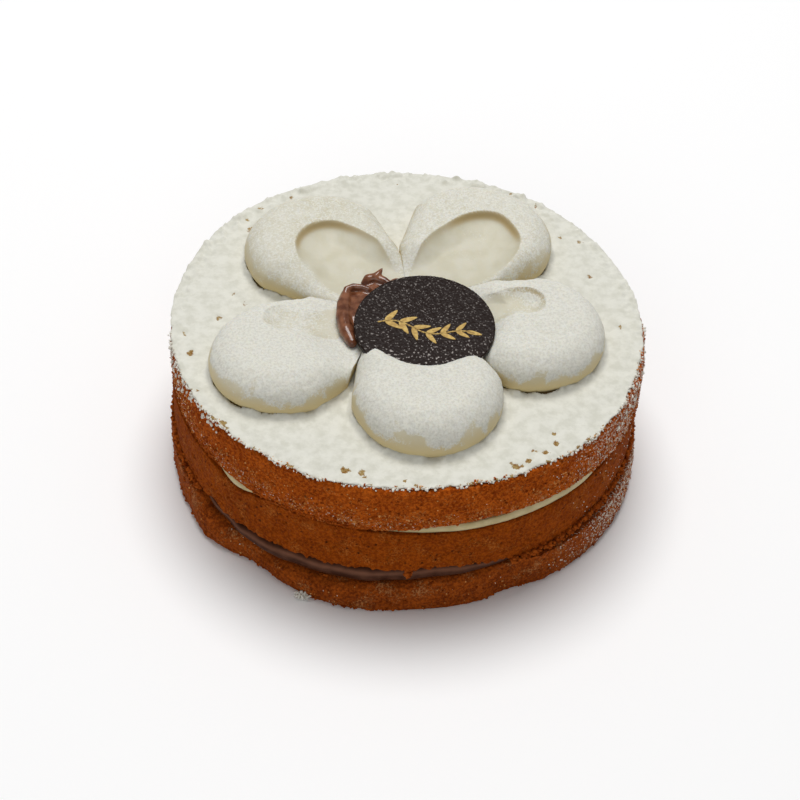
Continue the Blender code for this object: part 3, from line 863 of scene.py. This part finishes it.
def sugarMesh():
    look = sugarLook
    rimRings, outerRings, innerRings = 12, 62, 44
    rings = 2 + rimRings + outerRings + innerRings

    def place(angle, ring):
        behind = behindAt(angle)
        turn = np.clip((ring - 2) / rimRings, 0, 1) * math.pi
        outer = np.clip((ring - 2 - rimRings) / outerRings, 0, 1)
        inner = np.clip((ring - 2 - rimRings - outerRings) / innerRings, 0, 1)
        bend = np.where(turn < math.pi / 2, 0.6 * mm, (0.7 + 0.7 * behind) * mm)
        start = sugarEdge(angle) - bend
        radius = start + bend * np.sin(turn)
        radius = np.where(outer > 0, start - outer * (start - look["innerRing"]), radius)
        radius = np.where(inner > 0, look["innerRing"] * (1 - inner), radius)
        radius = np.where(ring == 1, 90 * mm, np.where(ring == 0, 0, radius))
        half = 0.5 * (0.9 + 1.3 * behind) * mm
        height = look["level"] - half - half * np.cos(turn)
        height = np.where(ring <= 1, look["level"] - 1 * mm, height)
        return np.column_stack([radius * np.cos(angle), radius * np.sin(angle), height])

    return formedMesh("icingSugar", look["segments"], rings, place)


def cutPits(points, relief, bare):
    # sinks the pits and bare places into relief, and marks in bare how brown they are
    look = sugarLook
    for x, y, size in look["pits"] + look["holes"]:
        away = np.hypot(points[:, 0] / mm - x, points[:, 1] / mm - y)
        near = away < 4
        size *= look["pitScale"]
        uneven = 0.8 * noiseAt(points[near], 1.1 * mm, 68) + 1.1 * noiseAt(points[near], 2.6 * mm, 69)
        hole = 1 - smoothStep((away[near] + uneven - 0.3 * size) / (0.9 * size))
        relief[near] -= hole * look["pitDepth"]
        bare[near] = np.maximum(bare[near], hole * (0.62 if y > -20 else 0.85))


def creviceWidth(points):
    width = np.zeros(len(points))
    for x, y, reach, size in sugarLook["crevices"]:
        away = np.hypot(points[:, 0] / mm - x, points[:, 1] / mm - y)
        width = np.maximum(width, size * (1 - smoothStep((away - 0.6 * reach) / (0.5 * reach))))
    return width


def sugarMaterial():
    look = sugarLook
    material, wire, feed = newMaterial("icingSugar", {"Roughness": 0.95, "Specular IOR Level": 0.15})
    coat = wire.mixed(wire.grain(5 * mm, 4, 0.6).step(0.3, 0.65), look["shade"], look["colour"])
    worn = (wire.painted("bare") * 1.1 + (wire.grain(1 * mm, 3, 0.7) - 0.5) * 1.3).step(0.42, 0.72)
    brown = wire.mixed(wire.grain(1.3 * mm, 3, 0.7).step(0.35, 0.6), look["crust"], look["pit"])
    feed("Base Color", wire.mixed(worn, coat, brown))
    height = wire.grain(0.8 * mm, 4, 0.7) + wire.grain(3 * mm, 3) * 0.4
    feed("Normal", wire.bump(height, 0.25 * mm, 0.6))
    return material


def buildSugar():
    mesh = sugarMesh()
    points = readPoints(mesh)
    radius = radiusOf(points)
    angle = angleOf(points)
    behind = behindAt(angle)
    relief = 0.35 * mm * noiseAt(points, 14 * mm, 60) + 0.2 * mm * noiseAt(points, 4 * mm, 61)
    relief += 0.09 * mm * noiseAt(points, 1.4 * mm, 62)
    crags = noiseAt(points, 5 * mm, 63) * (0.3 + 1.7 * behind)
    crags += noiseAt(points, 1.9 * mm, 67) * (0.3 + 1.2 * behind)
    relief += pastRadius(points, 91 * mm, 6 * mm) * (rimRelief(angle) + crags * mm)
    relief = np.maximum(relief, -0.45 * mm)
    bare = np.zeros(len(points))
    cutPits(points, relief, bare)
    # the coat wears thin along its front edge
    fade = smoothStep((radius - sugarEdge(angle) + 2.4 * mm) / (2 * mm))
    fade *= smoothStep(0.4 - 0.9 * np.sin(angle))
    fade *= smoothStep((noiseAt(points, 1.7 * mm, 75) + 0.7 * noiseAt(points, 4.5 * mm, 76) - 0.05) / 0.4)
    relief -= 0.3 * mm * fade
    bare = np.maximum(bare, 0.75 * fade)
    # it is heaped against the petals' feet, with brown crevices between
    gap = petalGap(points[:, :2]) / mm
    uneven = 0.8 * noiseAt(points, 3.5 * mm, 64) + 0.5 * noiseAt(points, 1.3 * mm, 65)
    width = creviceWidth(points)
    crevice = (1 - smoothStep((gap - width - 0.4 * uneven + 0.2) / 0.4)) * smoothStep(width / 0.5)
    heaped = smoothStep((4.2 + uneven - gap) / 2.6) * (1 - crevice) * smoothStep((gap + 2) / 1.5)
    piled = 2.8 * noiseAt(points, 7 * mm, 77) + 0.8 * noiseAt(points, 2.6 * mm, 78)
    relief += np.clip(1.7 + piled, 0.7, 3) * mm * heaped - 0.2 * mm * crevice
    bare = np.maximum(bare, crevice)
    points[:, 2] += smoothStep((points[:, 2] - sugarLook["level"] + 0.9 * mm) / (0.5 * mm)) * relief
    writePoints(mesh, points)
    item = linkPiece("icingSugar", mesh, sugarMaterial())
    paint(item, "bare", bare)


ganacheLook = {
    "colour": tone(136, 87, 60), "deep": tone(86, 46, 27),
    "radius": 22.6 * mm, "bulge": ((172, 42, 3.6),), "lobes": 12, "lobeDepth": 1.3 * mm,
    "floor": 79.1 * mm, "height": 5.8 * mm, "voxel": 0.45 * mm,
}
# folds of the piping that show beside the disc: path points in mm and radii
ganacheFolds = (
    (((-26.4, 0.5, 81.5), (-27.2, -6, 81.6), (-26.9, -13, 81.5), (-25.2, -21, 81.3), (-22.2, -28, 80.8)),
     (2.6, 3.3, 3.4, 3.1, 2.2)),
    (((-27, -1, 83), (-26.3, 2.2, 83.6), (-23.5, 3.8, 83.9), (-20, 3.4, 84), (-16.5, 2.5, 83.6)),
     (1.2, 1.5, 1.5, 1.4, 1.2)),
    (((-19, 8, 82), (-17.5, 10, 83), (-15, 10.4, 83.4), (-11, 9, 83.2), (-7, 6.5, 82.4)),
     (1.8, 2.3, 2.3, 2.1, 1.6)),
    (((-14.5, 10.2, 84), (-13, 11.6, 85.4), (-12.1, 12.4, 86.6), (-11.9, 12.7, 87.2)),
     (2.0, 1.3, 0.7, 0.35)),
)
disc = {
    "radius": 29.3 * mm, "thickness": 3 * mm, "centre": Vector((7 * mm, -19.4 * mm, 84.2 * mm)),
    # paintedGlint: the pale colour of the painted highlights on the pebbles
    "tilt": 3, "colour": tone(26, 12, 6), "paintedGlint": tone(186, 178, 172),
    "pebble": 1.05 * mm, "pebbleDepth": 0.3 * mm, "corner": 0.7 * mm, "segments": 560,
}
discPlace = Matrix.Translation(disc["centre"]) @ Matrix.Rotation(math.radians(disc["tilt"]), 4, "X")


def addFold(shell, path, radii):
    # one fold of piping, as balls that overlap along its path
    for index in range(len(path) - 1):
        start, end = Vector(path[index]), Vector(path[index + 1])
        count = max(2, int((end - start).length / 0.5))
        for step in range(count):
            share = step / count
            size = radii[index] * (1 - share) + radii[index + 1] * share
            spot = Matrix.Translation(start.lerp(end, share) * mm)
            bmesh.ops.create_icosphere(shell, subdivisions=2, radius=size * mm, matrix=spot)


def fusedMesh(mesh):
    item = bpy.data.objects.new("ganacheRaw", mesh)
    bpy.context.scene.collection.objects.link(item)
    fuse = item.modifiers.new("fuse", "REMESH")
    fuse.mode = "VOXEL"
    fuse.voxel_size = ganacheLook["voxel"]
    calm = item.modifiers.new("calm", "SMOOTH")
    calm.factor = 0.5
    calm.iterations = 5
    depsgraph = bpy.context.evaluated_depsgraph_get()
    fused = bpy.data.meshes.new_from_object(item.evaluated_get(depsgraph))
    bpy.data.objects.remove(item, do_unlink=True)
    fused.name = "ganacheSwirl"
    return fused


def pressUnderDisc(mesh):
    points = readPoints(mesh)
    middle = np.array(disc["centre"])
    offset = points[:, :2] - middle[:2]
    under = np.linalg.norm(offset, axis=1) < disc["radius"] + 0.2 * mm
    slope = math.tan(math.radians(disc["tilt"]))
    limit = middle[2] - 0.5 * disc["thickness"] - 0.1 * mm + slope * offset[:, 1]
    points[:, 2] = np.where(under, np.minimum(points[:, 2], limit), points[:, 2])
    writePoints(mesh, points)


def buildGanache():
    look = ganacheLook
    rows = ((0, 0), (0.86, 0), (0.97, 0.18), (1, 0.42), (0.95, 0.72), (0.82, 0.9), (0.6, 0.92), (0, 0.92))
    shares = np.array(rows)

    def place(angle, ring):
        fold = np.cos(look["lobes"] * (angle + math.radians(173)))
        edge = look["radius"] + swells(look["bulge"], angle) + look["lobeDepth"] * fold - 1.2 * mm
        radius = shares[ring, 0] * edge
        height = look["floor"] + shares[ring, 1] * look["height"] * 0.75
        spots = swirlCentre + radius[:, None] * np.stack([np.cos(angle), np.sin(angle)], 1)
        return np.column_stack([spots, height])

    mesh = formedMesh("ganacheSwirl", 120, len(rows) - 1, place)
    shell = bmesh.new()
    shell.from_mesh(mesh)
    for path, radii in ganacheFolds:
        addFold(shell, path, radii)
    shell.to_mesh(mesh)
    shell.free()
    fused = fusedMesh(mesh)
    pressUnderDisc(fused)
    keepInBox(fused, "ganache_swirl")
    fused.shade_smooth()
    material, wire, feed = newMaterial("ganache", {
        "Specular IOR Level": 0.5, "Subsurface Weight": 0.05, "Subsurface Scale": 1 * mm})
    feed("Base Color", wire.mixed(wire.grain(4 * mm, 2).step(0.3, 0.7), look["deep"], look["colour"]))
    feed("Roughness", 0.08 + wire.grain(2 * mm, 2) * 0.18)
    feed("Normal", wire.bump(wire.grain(1.6 * mm, 2), 0.12 * mm, 0.4))
    linkPiece("ganacheSwirl", fused, material, ["ganache_swirl"])


def buildDisc():
    look = disc
    edgeRings, topRings = 8, 100
    rings = 2 + edgeRings + topRings
    corner = look["corner"]
    half = 0.5 * look["thickness"]

    def place(angle, ring):
        turn = np.clip((ring - 2) / edgeRings, 0, 1) * math.pi - math.pi / 2
        inner = np.clip((ring - 2 - edgeRings) / topRings, 0, 1)
        radius = look["radius"] - corner + corner * np.cos(turn)
        height = np.where(turn < 0, corner - half, half - corner) + corner * np.sin(turn)
        radius = np.where(inner > 0, (look["radius"] - corner) * (1 - inner), radius)
        radius = np.where(ring == 1, 15 * mm, np.where(ring == 0, 0, radius))
        height = np.where(ring <= 1, -half, height)
        return np.column_stack([radius * np.cos(angle), radius * np.sin(angle), height])

    mesh = formedMesh("chocolateDisc", look["segments"], rings, place)
    points = readPoints(mesh)
    above = smoothStep((points[:, 2] + 0.3 * mm) / (1 * mm))
    relief = look["pebbleDepth"] * (0.4 - grainsAt(points, look["pebble"], 70))
    relief += 0.05 * mm * noiseAt(points, 0.6 * mm, 71)
    roughen(mesh, above * relief - 0.08 * mm)
    # painted glints, standing in for highlights on the pebbles: coarse and thick at the front, fine and
    # thin behind
    near = smoothStep((2 * mm - points[:, 1]) / (26 * mm))
    coarse = noiseAt(points * (0.8, 1, 1), 0.95 * mm, 72)
    fine = noiseAt(points, 0.6 * mm, 73) + 0.5 * noiseAt(points, 0.38 * mm, 74)
    glintPattern = near * coarse + (1 - 0.6 * near) * fine
    paintedGlints = above * smoothStep((glintPattern - 0.42 + 0.12 * near) / 0.22) * (0.45 + 0.55 * near)
    mesh.transform(discPlace)
    keepInBox(mesh, "chocolate_disc")
    material, wire, feed = newMaterial("darkChocolate", {"Specular IOR Level": 0.12})
    # the pebbles' highlights are painted into the colour as pale glints
    feed("Base Color", wire.mixed(wire.painted("paintedGlint"), look["colour"], look["paintedGlint"]))
    feed("Roughness", 0.26 + wire.grain(0.8 * mm, 2) * 0.3)
    feed("Normal", wire.bump(wire.grain(0.5 * mm, 2, 0.6), 0.2 * mm, 0.6))
    item = linkPiece("chocolateDisc", mesh, material, ["chocolate_disc"])
    paint(item, "paintedGlint", paintedGlints)


# a stem with pairs of leaves, in mm: length, leaf, leafWidth and the middle's place;
# slant and lean in degrees
sprig = {
    "gold": tone(196, 166, 92), "deepGold": tone(166, 132, 66), "middle": (-0.6, -2.6), "slant": -8,
    "length": 38, "bend": 2.2, "leaf": 8.2, "leafWidth": 3.4, "lean": 42, "pairs": 6,
    "stemParts": 26, "stemPart": (2.4, 0.9), "thickness": 0.22 * mm,
}


def stemSpot(share):
    return Vector((sprig["length"] * (share - 0.5), sprig["bend"] * math.sin(2.6 * math.pi * share)))


def stemTurn(share):
    way = stemSpot(share + 0.02) - stemSpot(share)
    return math.atan2(way.y, way.x)


def addLeaf(shape, root, turn, length, width):
    made = bmesh.ops.create_circle(shape, cap_ends=True, segments=18, radius=0.5)
    for point in made["verts"]:
        along = point.co.x + 0.5
        point.co = Vector((along * length, point.co.y * width * (1 - 0.55 * along), 0))
        point.co = Matrix.Rotation(turn, 3, "Z") @ point.co
        point.co += Vector((root.x, root.y, 0))


def buildSprig():
    look = sprig
    shape = bmesh.new()
    for pair in range(look["pairs"]):
        share = 0.08 + 0.78 * pair / (look["pairs"] - 1)
        size = 1 - 0.25 * share
        for side in (-1, 1):
            turn = stemTurn(share) + side * math.radians(look["lean"])
            addLeaf(shape, stemSpot(share), turn, look["leaf"] * size, look["leafWidth"] * size)
    addLeaf(shape, stemSpot(0.97), stemTurn(0.98), look["leaf"] * 0.8, look["leafWidth"] * 0.8)
    for index in range(look["stemParts"]):
        share = index / (look["stemParts"] - 1)
        addLeaf(shape, stemSpot(share), stemTurn(share), *look["stemPart"])
    raised = bmesh.ops.extrude_face_region(shape, geom=list(shape.faces))
    lifted = [part for part in raised["geom"] if isinstance(part, bmesh.types.BMVert)]
    bmesh.ops.translate(shape, verts=lifted, vec=(0, 0, 1))
    bmesh.ops.recalc_face_normals(shape, faces=shape.faces)
    # its underside lies just below the disc's pebbled top
    base = 0.5 * disc["thickness"] - 0.12 * mm
    place = discPlace @ Matrix.Translation((0, 0, base))
    place = place @ Matrix.Translation(Vector((*look["middle"], 0)) * mm)
    place = place @ Matrix.Rotation(math.radians(look["slant"]), 4, "Z")
    place = place @ Matrix.Diagonal((mm, mm, look["thickness"], 1))
    bmesh.ops.transform(shape, matrix=place, verts=shape.verts)
    mesh = bpy.data.meshes.new("goldSprig")
    shape.to_mesh(mesh)
    shape.free()
    material, wire, feed = newMaterial("goldPrint", {"Metallic": 0.2, "Roughness": 0.6})
    feed("Base Color", wire.mixed(wire.grain(1.2 * mm, 3).step(0.35, 0.65), look["deepGold"], look["gold"]))
    feed("Normal", wire.bump(wire.grain(0.7 * mm, 2), 0.15 * mm, 0.5))
    linkPiece("goldSprig", mesh, material)


def thicker(start, width):
    # the share of bits that stay, which grows to 1 over so many degrees
    return lambda angle, height: min(1, (angle - start) / width)


def nearFoot(angle, height):
    return 1 if height < 4 else 0.4


def clustered(angle, height):
    patch = noiseAt(np.array([[angle * 1.75, height * 1.6, 0]]) * mm, 7 * mm, 80)[0]
    return float(smoothStep((patch + 0.1) / 0.35)) * (1 if height < 61 else 0.25)


# the loose bits, in mm and degrees. of: what they are. size: from and to. sides:
# which sponge they stick to, how many, between which degrees and heights, and the
# share that stays. rim: how many, between which degrees, and how far past the
# sugar's edge, from and to
looseBits = {
    "rimSugar": {"of": "sugar", "size": (0.4, 1.4), "rim": (520, -172, -8, -0.8, 0.9)},
    "sugarClumps": {"of": "sugar", "size": (0.8, 2.1), "sides": (
        ("top", 50, (-172, -153), (58, 69)),
        ("top", 30, (-155, -138), (64, 69.5)),
        ("top", 40, (-30, 6), (60, 69)))},
    "sideSugar": {"of": "sugar", "size": (0.3, 0.8), "sides": (
        ("top", 1000, (-55, 40), (47, 69), thicker(-62, 60)),
        ("top", 12, (-150, -60), (47, 60)),
        ("top", 150, (-190, -150), (47, 69)),
        ("middle", 170, (-45, 40), (24, 43), thicker(-47, 45)),
        ("bottom", 650, (-54, 30), (3, 21), thicker(-56, 30)),
        ("bottom", 14, (-170, -55), (1, 14)))},
    "crumbs": {
        "of": "crumb", "size": (0.5, 1.5), "rim": (60, -140, -40, -0.8, 0.8), "sides": (
            ("top", 900, (-180, 180), (46.5, 60)),
            ("top", 400, (-180, 180), (60, 69)),
            ("middle", 200, (-180, 180), (22, 44)),
            ("bottom", 800, (-180, 180), (0.6, 16), nearFoot)),
        # where the cream is hidden: between which degrees, and how many
        "closed": (((-126, -97), 330), ((-175, -138), 260), ((-30, 10), 260))},
    # in the crease above the bottom sponge, where the chocolate is hidden
    "creaseCrumbs": {
        "of": "crumb", "size": (1, 2.2), "count": 2700, "degrees": (-62, 214), "out": (-0.4, 1.3),
        "up": (-3.8, -0.4)},
    "paleCrumbs": {"of": "pale", "size": (0.35, 1), "rim": (230, -160, 0, -1.8, 0.4), "sides": (
        ("top", 620, (-180, 180), (46.5, 66), clustered),
        ("top", 120, (-165, -150), (47, 67)),
        ("bottom", 160, (-180, 180), (1, 15), clustered))},
    # larger crumbs that hang at the chocolate
    "hangingCrumbs": {"of": "crumb", "size": (2, 3.1), "spots": (
        (4.7, -98.6, 22.6), (5.6, -99.1, 21.4), (4.2, -99.2, 20.6), (6.4, -98.8, 22), (5.2, -99.3, 19.8))},
    "footCrumbs": {"of": "crumb", "size": (1, 2), "sides": (
        ("bottom", 36, (-104, -90), (0.5, 1.4)), ("bottom", 10, (-112, -108), (0.5, 2)))},
    # a heap of sugar at the foot: its middle and its spread
    "footSugar": {
        "of": "sugar", "size": (0.6, 1.8), "count": 70, "middle": (-38, -97.2), "spread": (1.7, 0.9),
        "up": (0.4, 3.2)},
}


def sideSpot(tree, angle, height):
    # where a line towards the cake's axis first meets the sponge
    way = Vector((-math.cos(angle), -math.sin(angle), 0))
    start = Vector((math.cos(angle), math.sin(angle), 0)) * 0.13 + Vector((0, 0, height))
    return tree.ray_cast(start, way)[0]


def scatter(name, material, spots, draw):
    # one joined mesh of small uneven lumps, one at each spot
    lumps = bmesh.new()
    bmesh.ops.create_icosphere(lumps, subdivisions=1, radius=0.5)
    lump = bpy.data.meshes.new(name + "Lump")
    lumps.to_mesh(lump)
    shape = readPoints(lump)
    for _ in range(len(spots) - 1):
        lumps.from_mesh(lump)
    mesh = bpy.data.meshes.new(name)
    lumps.to_mesh(mesh)
    lumps.free()
    points = []
    for spot in spots:
        size = draw.uniform(*looseBits[name]["size"]) * mm
        stretch = [size * draw.uniform(0.7, 1.25) for _ in range(3)]
        turn = Matrix.Rotation(draw.uniform(0, 6.3), 3, Vector((draw.random(), draw.random(), 1)))
        knobs = np.array([draw.uniform(0.7, 1.2) for _ in shape])
        points.append((shape * knobs[:, None] * stretch) @ np.array(turn) + np.array(spot))
    low, high = cadBox
    writePoints(mesh, np.clip(np.concatenate(points), np.array(low), np.array(high)))
    mesh.shade_smooth()
    linkPiece(name, mesh, material)


def looseSugarMaterial():
    material, wire, feed = newMaterial("looseSugar", {"Roughness": 0.95, "Specular IOR Level": 0.15})
    patches = wire.grain(2 * mm, 2).step(0.3, 0.7)
    feed("Base Color", wire.mixed(patches, tone(208, 202, 190), tone(236, 234, 224)))
    feed("Normal", wire.bump(wire.grain(0.5 * mm, 2), 0.1 * mm, 0.5))
    return material


def crumbMaterial(name, dark, light):
    material, wire, feed = newMaterial(name, {"Roughness": 0.9, "Specular IOR Level": 0.05})
    feed("Base Color", wire.mixed(wire.grain(2.4 * mm, 2).step(0.3, 0.7), dark, light))
    feed("Normal", wire.bump(wire.grain(0.6 * mm, 2), 0.15 * mm, 0.6))
    return material


def sideSpots(draw, tree, count, degrees, heights, stays=lambda angle, height: 1):
    found = []
    while len(found) < count:
        angle = draw.uniform(*degrees)
        height = draw.uniform(*heights)
        if draw.random() > stays(angle, height):
            continue
        spot = sideSpot(tree, math.radians(angle), height * mm)
        if spot:
            found.append(spot)
    return found


def rimSpots(draw, count, first, last, nearest, furthest):
    turns = np.radians([draw.uniform(first, last) for _ in range(count)])
    found = []
    for turn, edge in zip(turns, sugarEdge(turns)):
        x = (edge + draw.uniform(nearest, furthest) * mm) * math.cos(turn)
        y = (edge + draw.uniform(nearest, furthest) * mm) * math.sin(turn)
        found.append(Vector((x, y, (69.6 + draw.uniform(-0.6, 0.4)) * mm)))
    return found


def closedSpots(draw, trees, places):
    # along the closed seam between the middle and the top sponge
    found = []
    for degrees, count in places:
        for _ in range(count):
            angle = math.radians(draw.uniform(*degrees))
            level = float(creamRoof(cake["radius"], np.array(angle))) + draw.uniform(-1.8, 1.2) * mm
            spot = sideSpot(draw.choice((trees["top"], trees["middle"])), angle, level)
            if spot:
                found.append(spot)
    return found


def creaseSpots(draw, tree, look):
    found = []
    for _ in range(look["count"]):
        angle = math.radians(draw.uniform(*look["degrees"]))
        level = float(chocolateRoof(cake["radius"], np.array(angle))) + 0.5 * mm
        spot = sideSpot(tree, angle, level)
        out = draw.uniform(*look["out"]) * mm
        shift = Vector((out * math.cos(angle), out * math.sin(angle), draw.uniform(*look["up"]) * mm))
        if spot:
            found.append(spot + shift)
    return found


def heapSpots(draw, look):
    found = []
    for _ in range(look["count"]):
        x, y = [draw.gauss(*pair) for pair in zip(look["middle"], look["spread"])]
        found.append(Vector((x, y, draw.uniform(*look["up"]))) * mm)
    return found


def treeOf(item):
    points = [point.co for point in item.data.vertices]
    return BVHTree.FromPolygons(points, [face.vertices for face in item.data.polygons])


def buildLooseBits(sponges):
    draw = random.Random(21)
    trees = {name: treeOf(item) for name, item in sponges.items()}
    materials = {
        "sugar": looseSugarMaterial(),
        "crumb": crumbMaterial("crumbs", tone(118, 48, 6), tone(172, 86, 26)),
        "pale": crumbMaterial("paleCrumbs", tone(176, 108, 52), tone(226, 172, 110)),
    }
    for name, look in looseBits.items():
        spots = []
        for sponge, *rest in look.get("sides", ()):
            spots += sideSpots(draw, trees[sponge], *rest)
        if "rim" in look:
            spots += rimSpots(draw, *look["rim"])
        if "closed" in look:
            spots += closedSpots(draw, trees, look["closed"])
        if "out" in look:
            spots += creaseSpots(draw, trees["middle"], look)
        if "spots" in look:
            spots += [Vector(spot) * mm for spot in look["spots"]]
        if "spread" in look:
            spots += heapSpots(draw, look)
        scatter(name, materials[look["of"]], spots, draw)


studio = {
    "floor": tone(252, 252, 252), "world": 0.27, "keyPlace": (-0.05, 0.62, 2.2), "keyPower": 41,
    "keySize": 1.4, "fillPlace": (-0.2, -1.0, 0.6), "fillPower": 1.4, "fillSize": 0.8,
}
shot = {"elevation": 44.6, "distance": 0.9, "aim": (-0.0016, 0, 0.022), "roll": 2.83, "lens": 91.9}


def addStudio():
    plane = bmesh.new()
    bmesh.ops.create_grid(plane, x_segments=1, y_segments=1, size=3)
    mesh = bpy.data.meshes.new("floor")
    plane.to_mesh(mesh)
    plane.free()
    floor = bpy.data.objects.new("floor", mesh)
    bpy.context.scene.collection.objects.link(floor)
    mesh.materials.append(newMaterial("floor", {"Roughness": 0.8, "Base Color": studio["floor"]})[0])
    for name in ("key", "fill"):
        lamp = bpy.data.lights.new(name, "AREA")
        lamp.shape = "DISK"
        lamp.size = studio[name + "Size"]
        lamp.energy = studio[name + "Power"]
        stand = bpy.data.objects.new(name, lamp)
        stand.location = studio[name + "Place"]
        aim = Vector((0, 0, 0.04)) - stand.location
        stand.rotation_euler = aim.to_track_quat("-Z", "Y").to_euler()
        bpy.context.scene.collection.objects.link(stand)
    world = bpy.data.worlds.new("studio")
    world.use_nodes = True
    sky = world.node_tree.nodes["Background"]
    sky.inputs["Color"].default_value = (1, 1, 1, 1)
    sky.inputs["Strength"].default_value = studio["world"]
    bpy.context.scene.world = world
    bpy.context.scene.view_settings.view_transform = "Standard"


def addCamera():
    lens = bpy.data.cameras.new("camera")
    lens.lens = shot["lens"]
    lens.sensor_width = 36
    eye = bpy.data.objects.new("camera", lens)
    lift = math.radians(shot["elevation"])
    back = Vector((0, -math.cos(lift), math.sin(lift)))
    turn = Matrix.Rotation(math.pi / 2 - lift, 4, "X") @ Matrix.Rotation(math.radians(shot["roll"]), 4, "Z")
    eye.matrix_world = Matrix.Translation(Vector(shot["aim"]) + shot["distance"] * back) @ turn
    bpy.context.scene.collection.objects.link(eye)
    bpy.context.scene.camera = eye


addStudio()
addCamera()
sponges = {"bottom": buildBottomSponge(), "middle": buildMiddleSponge(), "top": buildTopSponge()}
print("sponges made")
buildChocolateFilling()
buildCreamFilling()
print("fillings made")
buildPetals()
print("petals made")
buildSugar()
print("icing sugar made")
buildGanache()
buildDisc()
buildSprig()
print("ganache, disc and sprig made")
buildLooseBits(sponges)
print("crumbs and loose sugar made")
